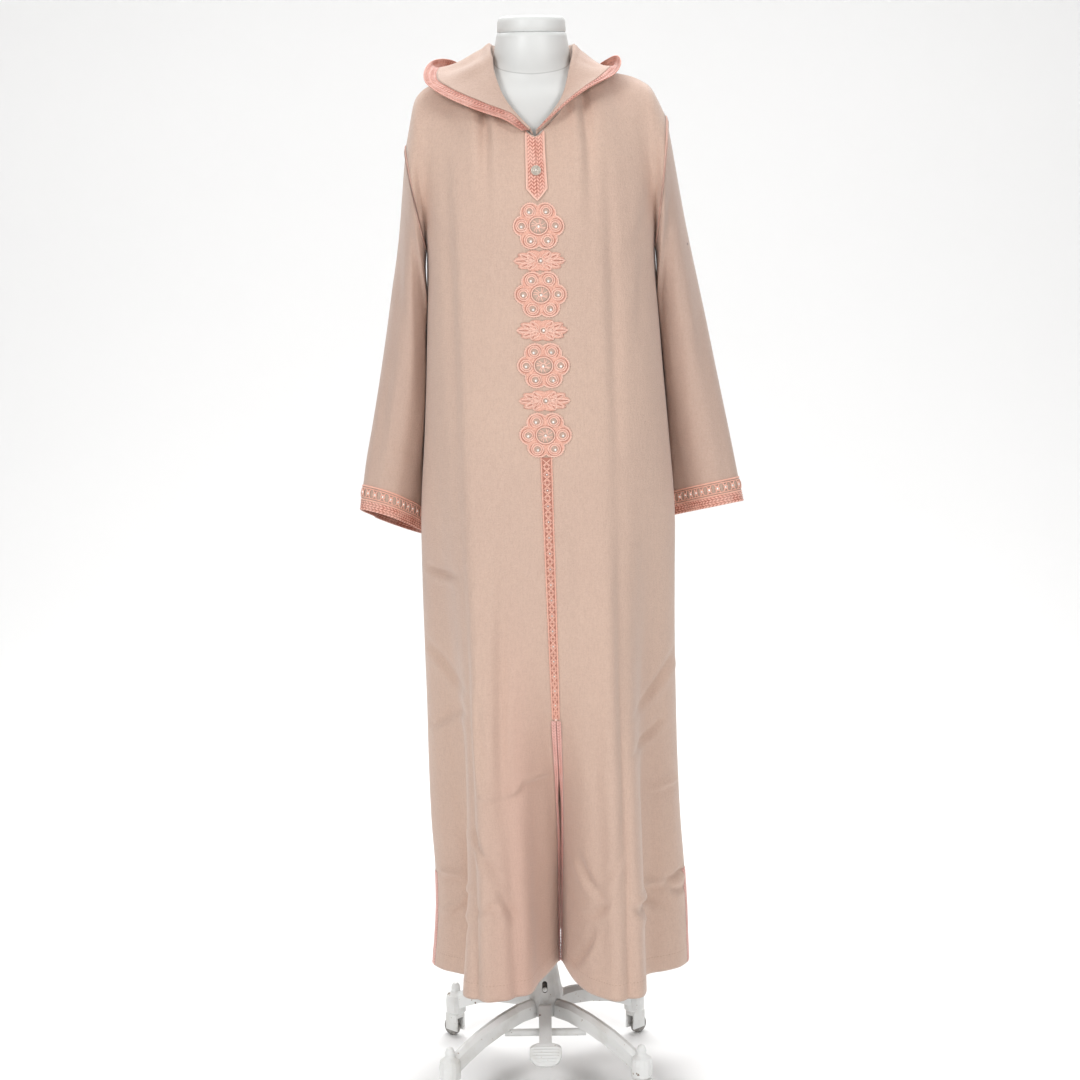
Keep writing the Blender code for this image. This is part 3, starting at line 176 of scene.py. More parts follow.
SLEEVE_RIGHT = (
    Ring(0.00, 0.202, 0.000, 1.502, 0.182, 0.000, 1.310, 0.074, 0),
    Ring(0.14, 0.215, 0.000, 1.430, 0.186, 0.010, 1.275, 0.073, -3),
    Ring(0.28, 0.229, -0.004, 1.345, 0.184, 0.038, 1.232, 0.069, -9),
    Ring(0.45, 0.249, -0.008, 1.240, 0.183, 0.060, 1.160, 0.062, -18),
    Ring(0.63, 0.269, -0.012, 1.130, 0.188, 0.066, 1.070, 0.054, -28),
    Ring(0.82, 0.293, -0.016, 1.010, 0.197, 0.070, 0.972, 0.046, -36),
    Ring(1.00, 0.311, -0.018, 0.919, 0.205, 0.074, 0.883, 0.039, -42),
)
SLEEVE_ROWS = 10
SLEEVE_CLEAR = 0.0018
# Long creases down the sleeves: share of the way round from the inner seam, depth, width and
# share of the way down where each one starts
SleeveFold = namedtuple("SleeveFold", "at depth width start")
SLEEVE_FOLDS = (
    SleeveFold(0.24, -0.010, 0.045, 0.05),
    SleeveFold(0.36, 0.006, 0.040, 0.10),
    SleeveFold(0.66, -0.009, 0.050, 0.20),
)

# Hood, laid back: turn is -1 and 1 at the foot of the V and 0 behind the neck
Hood = namedtuple("Hood", "turn crest_x crest_y crest_z rim_x rim_y rim_z drop flare")
HOOD = (
    Hood(-1.00, -0.003, -0.1235, 1.4885, -0.016, -0.1310, 1.4875, 0.000, 0.000),
    Hood(-0.90, -0.024, -0.1110, 1.5100, -0.040, -0.1285, 1.5030, 0.001, 0.002),
    Hood(-0.78, -0.043, -0.0900, 1.5370, -0.076, -0.1200, 1.5155, 0.002, 0.004),
    Hood(-0.66, -0.0555, -0.0620, 1.5700, -0.126, -0.0920, 1.5370, 0.006, 0.008),
    Hood(-0.54, -0.0610, -0.0250, 1.6000, -0.160, -0.0480, 1.5620, 0.010, 0.010),
    Hood(-0.42, -0.0615, 0.0120, 1.6120, -0.154, 0.0200, 1.5900, 0.018, 0.012),
    Hood(-0.28, -0.0540, 0.0470, 1.6120, -0.118, 0.0960, 1.5930, 0.090, 0.036),
    Hood(-0.13, -0.0270, 0.0720, 1.6050, -0.060, 0.1400, 1.5500, 0.225, 0.070),
    Hood(0.00, 0.0000, 0.0790, 1.6020, 0.000, 0.1500, 1.5300, 0.260, 0.075),
    Hood(0.13, 0.0270, 0.0720, 1.6050, 0.058, 0.1400, 1.5530, 0.225, 0.070),
    Hood(0.28, 0.0540, 0.0470, 1.6110, 0.104, 0.0960, 1.5860, 0.100, 0.040),
    Hood(0.42, 0.0615, 0.0120, 1.6110, 0.128, 0.0280, 1.5970, 0.030, 0.015),
    Hood(0.54, 0.0610, -0.0250, 1.6000, 0.133, -0.0280, 1.5850, 0.014, 0.010),
    Hood(0.66, 0.0545, -0.0600, 1.5700, 0.122, -0.0640, 1.5680, 0.006, 0.008),
    Hood(0.78, 0.0450, -0.0850, 1.5370, 0.090, -0.0980, 1.5530, 0.002, 0.004),
    Hood(0.90, 0.0270, -0.1110, 1.5090, 0.050, -0.1220, 1.5290, 0.001, 0.002),
    Hood(1.00, 0.0050, -0.1230, 1.4860, 0.018, -0.1290, 1.5010, 0.000, 0.000),
)
# Where round the neckline the hood is sewn on: 0 at the foot of the V, 1 at the shoulder, 2 behind the neck
Foot = namedtuple("Foot", "turn share")
HOOD_FOOT = (
    Foot(0.00, 2.00),
    Foot(0.13, 1.70),
    Foot(0.28, 1.34),
    Foot(0.42, 1.09),
    Foot(0.54, 0.96),
    Foot(0.66, 0.84),
    Foot(0.78, 0.65),
    Foot(0.90, 0.36),
    Foot(1.00, 0.03),
)
HOOD_COLUMNS = 36
HOOD_ROWS = 7
HOOD_CLEAR = 0.0045
HOOD_SEAM_IN = 0.0021

# Flowers and leaves down the front: distance from the middle line, height and size
Motif = namedtuple("Motif", "across z half_width half_height")
ROSETTES = (
    Motif(0.000, 1.3495, 0.038, 0.0355),
    Motif(0.000, 1.2500, 0.038, 0.0355),
    Motif(0.000, 1.1458, 0.038, 0.0350),
    Motif(0.000, 1.0432, 0.038, 0.0350),
)
LEAF_SPRAYS = (
    Motif(0.000, 1.2990, 0.038, 0.0165),
    Motif(0.000, 1.1975, 0.038, 0.0165),
    Motif(0.000, 1.0940, 0.038, 0.0165),
)
# The patch of the front that all of this lies on
GROUND_HALF = 0.048
GROUND_FOOT_Z = 0.600
GROUND_TOP_Z = 1.520
# Cords of the embroidery by half thickness
CORD = 0.0011
CORD_THIN = 0.0009
CORD_FINE = 0.0006
CORD_SQUASH = 0.8
STONE_SIDES = 8
# Flower: where its lobes lie as shares of its half sizes, then half sizes of its rings and discs
LOBES = 6
LOBE_OUT = (0.660, 0.680)
LOBE_ARC = (0.0101, 0.0097)
LOBE_RING = (0.0087, 0.0084)
LOBE_EYE = (0.0057, 0.0055)
LOBE_DISC = (0.0052, 0.0050)
HEART_RIM = (0.0150, 0.0137)
HEART_RING = (0.0136, 0.0124)
HEART_DISC = (0.0132, 0.0120)
HEART_EYE = (0.0038, 0.0035)
SPOKES = 11
SPOKE_OUT = 0.0128
# Leaves of a spray on one side: angle in degrees and length as a share of the spray's half width
LEAVES = ((0, 0.8), (40, 0.7056), (-40, 0.7056), (72, 0.6624), (-72, 0.6624))
LEAF_HALF = 0.0062
LEAF_RING_X = 0.002
LEAF_RING = (0.0050, 0.0047)
LEAF_DISC = (0.0044, 0.0042)
STEM_TOP_Z = 1.006
STEM_PITCH = 0.0118
STEM_CLEAR = 0.0030
STEM_TOP_HALF = 0.0088
STEM_FOOT_HALF = 0.0060
PLACKET_HALF = 0.0175
PLACKET_TIP_Z = 1.3865
PLACKET_SHOULDER_Z = 1.4040
PLACKET_SPLIT_Z = 1.4407
PLACKET_TOP_Z = 1.4745
BUTTON_Z = 1.4287
BUTTON_RADIUS = 0.0075
BUTTON_SIDES = 40
BUTTON_BEADS = 9
# The button from its foot to its middle: share of its radius and height
BUTTON_PROFILE = (
    (0.70, 0.0),
    (0.92, 0.0006),
    (1.0, 0.0016),
    (0.97, 0.0027),
    (0.84, 0.0032),
    (0.66, 0.0026),
    (0.40, 0.0030),
    (0.0, 0.0034),
)

# Dress form
Form = namedtuple("Form", "z half front back shape")
FORM = (
    Form(0.860, 0.140, 0.098, 0.096, 2.2),
    Form(0.872, 0.150, 0.106, 0.106, 2.2),
    Form(0.920, 0.155, 0.110, 0.112, 2.2),
    Form(0.990, 0.150, 0.106, 0.110, 2.2),
    Form(1.100, 0.126, 0.096, 0.084, 2.2),
    Form(1.200, 0.136, 0.112, 0.082, 2.2),
    Form(1.290, 0.145, 0.132, 0.088, 2.2),
    Form(1.360, 0.149, 0.126, 0.090, 2.1),
    Form(1.430, 0.153, 0.108, 0.086, 2.0),
    Form(1.480, 0.156, 0.093, 0.080, 1.9),
    Form(1.515, 0.154, 0.082, 0.070, 1.7),
    Form(1.538, 0.1490, 0.0730, 0.0610, 1.6),
    Form(1.556, 0.1220, 0.0610, 0.0552, 1.5),
    Form(1.570, 0.0783, 0.0565, 0.0532, 1.7),
    Form(1.582, 0.0610, 0.0570, 0.0550, 2.0),
    Form(1.600, 0.0575, 0.0575, 0.0550, 2.0),
    Form(1.6305, 0.0520, 0.0530, 0.0520, 2.0),
)
FORM_FOOT = (0.8602, 0.8610)
FORM_SIDE_Z = 0.864
FORM_ROWS = 130
FORM_SIDES = 96
CAP_FOOT_Z = 1.6308
CAP_TOP_Z = 1.655
CAP_HALF = 0.0515
# The cap from its foot up: shares of its radius and height
CAP_PROFILE = (
    (0.97, 0.0),
    (1.0, 0.062),
    (1.0, 0.30),
    (0.992, 0.62),
    (0.965, 0.84),
    (0.90, 0.97),
    (0.82, 1.0),
    (0.3, 1.0),
)
MAST_RADIUS = 0.0130
MAST_FOOT_Z = 0.330
MAST_TOP_Z = 0.8597

# How finely the pieces are drawn
CELL_UP = 0.005
YOKE_STEPS = 6
COLUMN_STEPS = 5
SIDE_STEPS = 2
SLIT_STEPS = 3
SLIT_DRAWN = 2
BRAID_CELL = 0.0009

# Braid: how far it lies above the cloth, its own thickness and the length of one turn of its threads
BRAID_PROUD = 0.0003
BRAID_THICK = 0.0013
CUFF_PITCH = 0.0060
SLIT_PITCH = 0.0048
RIM_PITCH = 0.0052
CUFF_BANDS = 4
SLIT_BANDS = 2
RIM_BANDS = 5
PLACKET_BANDS = 8

# Cuff band: cloth drawn under it, room above the braid, and length round of one pair of crossed cords
CUFF_GROUND = 0.050
CUFF_BAND_CLEAR = 0.0015
CUFF_CROSS = 0.0128
CUFF_RING = (0.0030, 0.0030)

# Needle lace over the armhole: half its width and the length of one point
LACE_HALF = 0.0032
LACE_POINT = 0.0024

# Creases seen from the front or back: from one end to the other, their depth, width and bow
Crease = namedtuple("Crease", "x0 z0 x1 z1 depth width bow")
FRONT_CREASES = (
    Crease(-0.100, -0.450, -0.121, 0.980, -0.0120, 0.0110, 0.003),
    Crease(-0.121, 0.900, -0.134, 1.500, -0.0045, 0.0100, 0.003),
    Crease(0.121, 0.980, 0.143, -0.450, -0.0120, 0.0110, 0.003),
    Crease(0.107, 1.480, 0.121, 0.920, -0.0045, 0.0100, -0.003),
    Crease(-0.056, 0.840, -0.060, 0.420, -0.0070, 0.0085, 0.002),
    Crease(-0.052, 0.540, -0.026, -0.150, -0.0070, 0.0095, 0.003),
    Crease(-0.010, 0.600, 0.006, -0.100, -0.0090, 0.0160, 0.000),
    Crease(0.078, 0.620, 0.088, 0.190, -0.0030, 0.0110, -0.004),
    Crease(-0.094, 0.660, -0.086, 0.500, -0.0057, 0.0055, 0.002),
    Crease(-0.102, 0.497, -0.060, 0.499, 0.0052, 0.0050, 0.001),
    Crease(-0.064, 0.494, -0.030, 0.521, 0.0057, 0.0050, 0.005),
    Crease(-0.036, 0.521, 0.016, 0.522, 0.0052, 0.0050, 0.002),
    Crease(-0.112, 0.446, -0.058, 0.358, -0.0085, 0.0060, 0.005),
    Crease(-0.112, 0.310, -0.060, 0.338, -0.0062, 0.0055, 0.003),
    Crease(-0.070, 0.356, -0.038, 0.294, -0.0081, 0.0055, 0.003),
    Crease(-0.168, 0.338, -0.112, 0.345, 0.0062, 0.0050, 0.002),
    Crease(-0.168, 0.266, -0.114, 0.308, 0.0057, 0.0055, 0.004),
    Crease(-0.184, 0.566, -0.116, 0.624, -0.0048, 0.0065, 0.004),
    Crease(-0.184, 0.718, -0.116, 0.638, -0.0048, 0.0065, -0.004),
    Crease(0.138, 0.600, 0.220, 0.704, -0.0062, 0.0065, 0.004),
    Crease(0.134, 0.546, 0.194, 0.592, -0.0048, 0.0060, 0.003),
    Crease(0.162, 0.472, 0.228, 0.483, 0.0048, 0.0055, -0.002),
    Crease(0.134, 0.331, 0.196, 0.322, 0.0067, 0.0050, 0.002),
    Crease(0.186, 0.325, 0.238, 0.338, -0.0085, 0.0060, 0.004),
    Crease(0.134, 0.324, 0.196, 0.278, -0.0071, 0.0055, 0.004),
    Crease(0.188, 0.322, 0.232, 0.296, -0.0057, 0.0060, 0.003),
    Crease(0.054, 0.392, 0.088, 0.332, -0.0076, 0.0055, 0.003),
    Crease(0.094, 0.362, 0.118, 0.410, -0.0062, 0.0055, 0.003),
    Crease(0.058, 0.294, 0.106, 0.334, -0.0062, 0.0055, 0.003),
    Crease(0.042, 0.206, 0.078, 0.292, -0.0076, 0.0060, 0.004),
    Crease(-0.176, 0.830, -0.120, 0.824, -0.0057, 0.0055, 0.003),
    Crease(-0.090, 1.560, -0.080, 1.370, 0.0030, 0.0120, 0.000),
    Crease(0.072, 1.560, 0.068, 1.370, 0.0030, 0.0120, 0.000),
    Crease(-0.165, 1.395, -0.120, 1.300, -0.0020, 0.0080, 0.008),
    Crease(0.176, 1.420, 0.140, 1.300, -0.0022, 0.0090, -0.008),
    Crease(0.166, 1.330, 0.158, 1.160, -0.0018, 0.0080, 0.005),
    Crease(-0.048, 1.000, -0.040, 0.700, -0.0016, 0.0100, 0.004),
    Crease(0.050, 0.960, 0.058, 0.660, -0.0016, 0.0110, -0.004),
)
BACK_CREASES = (
    Crease(-0.120, 1.300, -0.102, 0.480, -0.0024, 0.013, -0.006),
    Crease(-0.060, 0.900, -0.052, 0.240, -0.0026, 0.012, 0.006),
    Crease(0.034, 1.040, 0.046, 0.420, -0.0020, 0.013, -0.005),
    Crease(0.102, 1.220, 0.126, 0.520, -0.0024, 0.014, 0.006),
    Crease(0.144, 0.620, 0.150, 0.230, -0.0026, 0.011, -0.005),
    Crease(-0.140, 0.420, -0.096, 0.392, -0.0026, 0.0090, 0.004),
    Crease(0.110, 0.300, 0.172, 0.272, -0.0013, 0.0090, -0.005),
    Crease(-0.132, 1.430, -0.050, 1.392, -0.0020, 0.0090, -0.008),
    Crease(0.150, 1.440, 0.060, 1.396, -0.0020, 0.0090, 0.008),
    Crease(-0.030, 1.350, 0.036, 1.330, -0.0014, 0.0080, 0.005),
    Crease(-0.128, -0.300, -0.112, 0.700, -0.0080, 0.0110, 0.004),
    Crease(0.096, 0.760, 0.106, -0.250, -0.0075, 0.0105, 0.003),
    Crease(-0.020, 0.520, 0.010, 0.180, -0.0040, 0.0100, 0.004),
    Crease(0.020, 0.404, 0.084, 0.372, -0.0034, 0.0090, 0.004),
    Crease(-0.090, 0.300, -0.030, 0.336, 0.0031, 0.0090, 0.004),
    Crease(0.116, 0.520, 0.188, 0.566, -0.0031, 0.0090, -0.003),
)
# Creases on the fronts of both sleeves
SLEEVE_CREASES = (
    Crease(-0.228, 1.028, -0.180, 0.996, -0.0026, 0.0070, 0.004),
    Crease(-0.236, 0.992, -0.200, 0.968, -0.0016, 0.0060, 0.003),
    Crease(-0.206, 1.380, -0.196, 1.160, -0.0022, 0.0080, 0.005),
    Crease(-0.182, 1.300, -0.178, 1.060, -0.0020, 0.0070, -0.005),
    Crease(-0.214, 1.160, -0.236, 1.010, -0.0018, 0.0070, 0.005),
    Crease(0.203, 1.440, 0.212, 1.230, -0.0030, 0.0070, 0.003),
    Crease(0.214, 1.250, 0.232, 1.050, -0.0022, 0.0080, 0.005),
    Crease(0.236, 1.320, 0.252, 1.120, -0.0018, 0.0090, -0.006),
    Crease(0.262, 1.080, 0.218, 1.030, -0.0020, 0.0070, 0.004),
    Crease(0.276, 1.010, 0.240, 0.985, -0.0016, 0.0060, 0.003),
)
# How far from the side seams and from the top the creases grow to their full depth
FADE_SIDE = 0.016
FADE_TOP = 0.060
# Dents in the hood: where round it (-1 and 1 at the foot of the V), how far out, depth and width
HOOD_CREASES = (
    (-0.58, 0.50, -0.0045, 0.030),
    (-0.50, 0.62, 0.0035, 0.028),
    (-0.42, 0.50, -0.0055, 0.030),
    (-0.30, 0.60, 0.0030, 0.035),
    (-0.20, 0.50, -0.0040, 0.040),
    (-0.04, 0.60, 0.0036, 0.045),
    (0.12, 0.50, -0.0038, 0.040),
    (0.30, 0.60, 0.0032, 0.035),
    (0.45, 0.50, -0.0045, 0.030),
    (0.56, 0.60, 0.0030, 0.030),
)
HOOD_DENT_LONG = 0.28

# A dark speck of a stain on the front of the right sleeve
STAIN_X = 0.2115
STAIN_Z = 1.3139

# The turned hem
HEM_FOLD = 0.025
HEM_PROUD = 0.0005
# How far the slit stands open, by height
SLIT_OPENING = (
    (0.180, 0.0030),
    (0.250, 0.0050),
    (0.330, 0.0045),
    (0.375, 0.0014),
    (0.415, 0.0040),
    (0.465, 0.0060),
    (0.512, 0.0012),
    (0.610, 0.0006),
)
# Seam of the form below its neck
NECK_SEAM_Z = 1.5915

# Slot of the column, the pedal's plate and the outline of its arm, as distance back and height
SLOT_Z = 0.1445
SLOT_HALF = 0.0042
SLOT_RISE = 0.0092
SLOT_SIDES = 24
BOLT_PROFILE = ((0.0037, 0.0), (0.0037, 0.0022), (0.0028, 0.0032), (0.0012, 0.0035))
PEDAL_HALF = 0.0250
PEDAL_PLATE = ((-0.1050, 0.0822), (-0.1210, 0.0806), (-0.1330, 0.0690), (-0.1420, 0.0585))
RIB_PITCH = 0.0052
PEDAL_ARM = (
    (-0.0520, 0.0745),
    (-0.04915, 0.0834),
    (-0.0480, 0.0870),
    (-0.0355, 0.1150),
    (-0.0395, 0.1212),
    (-0.0450, 0.1212),
    (-0.0520, 0.1130),
    (-0.0720, 0.0975),
    (-0.1050, 0.0834),
    (-0.1130, 0.0800),
    (-0.1130, 0.0730),
    (-0.0720, 0.0745),
)
# The arm's points where the level through the rod cuts its outline
PEDAL_RIGHT = 1
PEDAL_LEFT = 8
ROD_Y = -0.062
ROD_Z = 0.0834
EYE_RADIUS = 0.0063

# Lights: name, place, size and power
LIGHTS = (
    ("front_left", (-2.7, -4.0, 3.6), (1.6, 1.6), 124.0),
    ("front_right", (2.6, -4.1, 3.2), (1.6, 1.6), 90.0),
    ("ceiling", (0.0, 0.2, 4.6), (3.0, 3.0), 52.0),
    ("backdrop_light", (0.0, 2.2, 4.2), (5.0, 1.5), 150.0),
)

# Floor, curving up behind
FLOOR_FRONT = -6.0
FLOOR_BACK = 3.0
FLOOR_BEND = 1.5
FLOOR_TOP_Z = 6.0
FLOOR_HALF = 7.0

# Camera, with the photo's frame of 1080 pixels
FRAME_PIXELS = 1080
SENSOR = 36.0
PIXEL = 0.00155
CAMERA_AWAY = 3.8
CAMERA_Z = 1.5
LOOK_AT_Z = 0.86
CAMERA_ROLL = -0.8


def curved(u, span, ends, slopes):
    """The place at a share u of a smooth curve between two ends with their slopes."""
    return (
        (2 * u**3 - 3 * u**2 + 1) * ends[0]
        + (u**3 - 2 * u**2 + u) * span * slopes[0]
        + (3 * u**2 - 2 * u**3) * ends[1]
        + (u**3 - u**2) * span * slopes[1]
    )


def along(rows, at):
    """Each column of a table, read on a smooth curve through its rows; the first column says where."""
    table = np.array([[value for value in row if not isinstance(value, str)] for row in rows], float)
    keys = table[:, 0]
    at = np.clip(at, keys[0], keys[-1])
    slopes = np.gradient(table, keys, axis=0)
    k = np.clip(np.searchsorted(keys, at) - 1, 0, len(keys) - 2)
    span = keys[k + 1] - keys[k]
    return curved((at - keys[k]) / span, span, table[k : k + 2], slopes[k : k + 2])


def round_turn(count):
    """Angles once round, in even steps."""
    return np.linspace(0, 2 * math.pi, count + 1)[:-1]


def ring_faces(rings, sides, joined=False, first=0):
    """Faces between rings of points, each ring with its sides; the last ring may join the first."""
    faces = []
    for n in range(rings if joined else rings - 1):
        low, high = first + n * sides, first + (n + 1) % rings * sides
        for j in range(sides):
            k = (j + 1) % sides
            faces.append((low + j, low + k, high + k, high + j))
    return faces


def fan_faces(rings, sides):
    """Faces from a middle point out through rings that turn against the faces' outer side."""
    faces = [(0, 1 + j, 1 + (j + 1) % sides) for j in range(sides)]
    return faces + [face[::-1] for face in ring_faces(rings, sides, first=1)]


def bezier(p0, p1, p2, p3, t):
    """The point at t on a cubic curve."""
    return (1 - t) ** 3 * p0 + 3 * t * (1 - t) ** 2 * p1 + 3 * t**2 * (1 - t) * p2 + t**3 * p3


def smooth_step(u):
    """0 to 1 with level ends."""
    u = np.clip(u, 0.0, 1.0)
    return u * u * (3 - 2 * u)


def reach(angles, z):
    """Distance of the cloth from the middle axis at each angle in degrees."""
    _, left, right, front, back, middle = along(SECTIONS, z)
    sine = np.sin(np.radians(angles))
    cosine = np.cos(np.radians(angles))
    half = np.where(sine > 0, right - middle, middle - left)
    depth = np.where(cosine > 0, -front, back)
    found = (np.abs(sine / half) ** SIDE_SHAPE + np.abs(cosine / depth) ** SIDE_SHAPE) ** (-1 / SIDE_SHAPE)
    for fold in FOLDS:
        grown = smooth_step((fold.top - z) / (fold.top - fold.full))
        away = angles - fold.angle - fold.drift * grown
        away = (away + 180) % 360 - 180
        found = found + fold.depth * grown * np.exp(-((away / fold.width) ** 2))
    return found


def half_section(z, side, face):
    """Points on one quarter of the section, from the middle of the front or back to the side seam."""
    start = 0 if face == "front" else 180
    turn = side if face == "front" else -side
    angles = start + turn * np.linspace(0, 90, 121)
    away = reach(angles, z)
    middle = along(SECTIONS, z)[5]
    x = middle + away * np.sin(np.radians(angles))
    y = -away * np.cos(np.radians(angles))
    return np.column_stack([x, y, np.full(len(x), z)])


def at_distance(points, distance):
    """The point at a distance along a run of points."""
    return read_at(points, reached_along(points), [distance])[0]


def reached_along(points):
    """Distance gone at each of a run of points."""
    return np.concatenate([[0.0], np.cumsum(np.linalg.norm(np.diff(points, axis=0), axis=1))])


def read_at(points, keys, at):
    """Places read off a run of points whose keys rise."""
    return np.column_stack([np.interp(at, keys, points[:, n]) for n in range(points.shape[1])])


def length(points):
    """Length of a run of points."""
    return reached_along(points)[-1]


def column_distance(k, last, whole):
    """How far from the middle line column k of a panel runs, on a half section of this length."""
    if k == 0:
        return 0.0
    if k == last:
        return whole
    return SLIT_BRAID + (whole - SLIT_BRAID - SIDE_BRAID) * (k - 1) / (last - 2)


def neckline(face, side, share):
    """A point on the neckline."""
    _, x, y, z = along(NECK_FRONT if face == "front" else NECK_BACK, share)
    lean = V_MIDDLE * (1 - share) if face == "front" else 0.0
    return np.array([side * x + lean, y, z])


def panel_top(face, side, k, neck_columns):
    """Where column k of a panel ends: on the neckline, then along the shoulder seam."""
    if k <= neck_columns:
        return neckline(face, side, k / neck_columns)
    share = (k - neck_columns) / SHOULDER_COLUMNS
    _, x, z = along(SHOULDER_LEFT if side < 0 else SHOULDER_RIGHT, share)
    return np.array([x, 0.0, z])


def hem_height(across, row_z, face):
    """The hem rises at the middle slit, and a little at the sides."""
    fade = smooth_step((0.40 - row_z) / (0.40 - HEM_Z))
    rise = SLIT_RISE * math.exp(-((across / 0.075) ** 2)) if face == "front" else 0.0
    return row_z + fade * rise


def panel_column(face, side, k, neck_columns):
    """One column of a panel from its hem to its top."""
    last = neck_columns + SHOULDER_COLUMNS
    points = []
    for row_z in ROW_HEIGHTS:
        quarter = half_section(row_z, side, face)
        distance = column_distance(k, last, length(quarter))
        z = hem_height(distance, row_z, face)
        quarter = half_section(z, side, face)
        points.append(at_distance(quarter, column_distance(k, last, length(quarter))))
    out = -1.0 if face == "front" else 1.0
    shape = along(YOKE_FRONT if face == "front" else YOKE_BACK, k / last)
    foot = points[-1]
    head = panel_top(face, side, k, neck_columns)
    first = foot + np.array([0.0, out * shape[1], shape[2]])
    second = head + np.array([0.0, out * shape[3], -shape[4]])
    for step in range(1, YOKE_ROWS + 1):
        points.append(bezier(foot, first, second, head, step / YOKE_ROWS))
    return points


def panel_grid(face):
    """Points of the front or back panel, rows from the hem up and columns so that they face out."""
    neck_columns = FRONT_NECK_COLUMNS if face == "front" else BACK_NECK_COLUMNS
    last = neck_columns + SHOULDER_COLUMNS
    one = [panel_column(face, -1, k, neck_columns) for k in range(last, 0, -1)]
    middle = [panel_column(face, 1, 0, neck_columns)]
    other = [panel_column(face, 1, k, neck_columns) for k in range(1, last + 1)]
    columns = one + middle + other
    if face == "back":
        columns.reverse()
    return np.array(columns).transpose(1, 0, 2)


def grid_normals(grid, closed=False):
    """Face normals gathered at each point, not yet of unit length."""
    wide = np.concatenate([grid, grid[:, :1]], axis=1) if closed else grid
    a, b = wide[:-1, :-1], wide[:-1, 1:]
    c, d = wide[1:, 1:], wide[1:, :-1]
    faces = np.cross(c - a, d - b)
    found = np.zeros_like(wide)
    for rows in (slice(None, -1), slice(1, None)):
        for columns in (slice(None, -1), slice(1, None)):
            found[rows, columns] += faces
    if closed:
        found[:, 0] += found[:, -1]
        found = found[:, :-1]
    return found


def beside_body(place):
    """The place itself, or if the body of the kaftan is in its way the nearest one just clear of it."""
    x, y, z = place
    middle = along(SECTIONS, min(z, YOKE_Z))[5]
    angle = math.degrees(math.atan2(x - middle, -y))
    least = reach(np.array([angle]), min(z, YOKE_Z))[0] + SLEEVE_CLEAR
    away = math.hypot(x - middle, y)
    if away >= least:
        return place
    return np.array([middle + (x - middle) * least / away, y * least / away, z])


def sleeve_grid(side, front, back):
    """Rings of a sleeve, the first on the armhole edges of the panels, the last at the cuff."""
    edge = 0 if side < 0 else -1
    other = -1 if side < 0 else 0
    foot = len(ROW_HEIGHTS) - 1
    armhole = np.concatenate([front[foot:, edge], back[foot:-1, other][::-1][:-1]])
    count = len(armhole)
    rows = [armhole]
    table = SLEEVE_LEFT if side < 0 else SLEEVE_RIGHT
    for step in range(1, SLEEVE_ROWS + 1):
        drop = step / SLEEVE_ROWS
        row = along(table, drop)
        outer, inner, half, yaw = row[1:4], row[4:7], row[7], math.radians(row[8])
        middle = (outer + inner) / 2
        depth = half * np.array([math.sin(yaw), -math.cos(yaw), 0.0])
        ring = []
        for j in range(count):
            share = j / count
            angle = 2 * math.pi * share
            swell = 1.0
            for fold in SLEEVE_FOLDS:
                away = (share - fold.at + 0.5) % 1.0 - 0.5
                grown = smooth_step((drop - fold.start) / 0.25)
                swell += fold.depth / half * grown * math.exp(-((away / fold.width) ** 2))
            spread = (inner - middle) * math.cos(angle) + depth * math.sin(angle)
            ring.append(beside_body(middle + spread * swell))
        rows.append(np.array(ring))
    grid = np.array(rows)
    if side > 0:
        grid = grid[:, ::-1]
    return grid


def cut_rings(grid, from_end):
    """The ring that lies a distance before a sleeve's end, measured along each column."""
    found = []
    for column in grid.transpose(1, 0, 2)[:, ::-1]:
        found.append(at_distance(column, from_end))
    return np.array(found)


def hood_section(turn, samples):
    """Points of the hood from its crest beside the neck to its rim."""
    row = along(HOOD, turn)
    crest, rim, drop, flare = row[1:4], row[4:7], row[7], row[8]
    out = np.array([rim[0] - crest[0], rim[1] - crest[1], 0.0])
    out /= np.linalg.norm(out)
    down = np.array([0.0, 0.0, -4 / 3 * drop])
    first = crest + (rim - crest) * 0.3 + down + out * flare
    second = rim + (crest - rim) * 0.2 + down + out * flare
    return np.array([bezier(crest, first, second, rim, t) for t in np.linspace(0, 1, samples)])


def hood_foot(turn):
    """Where the hood is sewn on, just inside the neckline."""
    side = -1 if turn < 0 else 1
    share = along(HOOD_FOOT, abs(turn))[1]
    place = neckline("front", side, share) if share < 1 else neckline("back", side, 2 - share)
    inward = np.array([-place[0], -0.02 - place[1], 0.0])
    return place + inward / np.linalg.norm(inward) * HOOD_SEAM_IN - np.array([0.0, 0.0, SEAM_GAP])


def finer(grid, counts, closed=False):
    """More rows on smooth curves through the rows of a grid, each gap cut into its count of steps."""
    pad = 3 if closed else 0
    rows = np.concatenate([grid[-3:], grid, grid[:4]]) if closed else grid
    steps = np.linalg.norm(np.diff(rows, axis=0), axis=2).mean(axis=1)
    keys = np.concatenate([[0.0], np.cumsum(steps)])
    slopes = np.gradient(rows, keys, axis=0)
    found = []
    for k, count in enumerate(counts, pad):
        span = keys[k + 1] - keys[k]
        for step in range(count):
            found.append(curved(step / count, span, rows[k : k + 2], slopes[k : k + 2]))
    return np.array(found if closed else found + [rows[-1]])


def across_grid(grid, counts, closed=False):
    """The same for the columns of a grid."""
    return finer(grid.transpose(1, 0, 2), counts, closed).transpose(1, 0, 2)


def unit(vectors):
    """The same vectors, each one unit long."""
    return vectors / np.maximum(np.linalg.norm(vectors, axis=-1, keepdims=True), 1e-12)


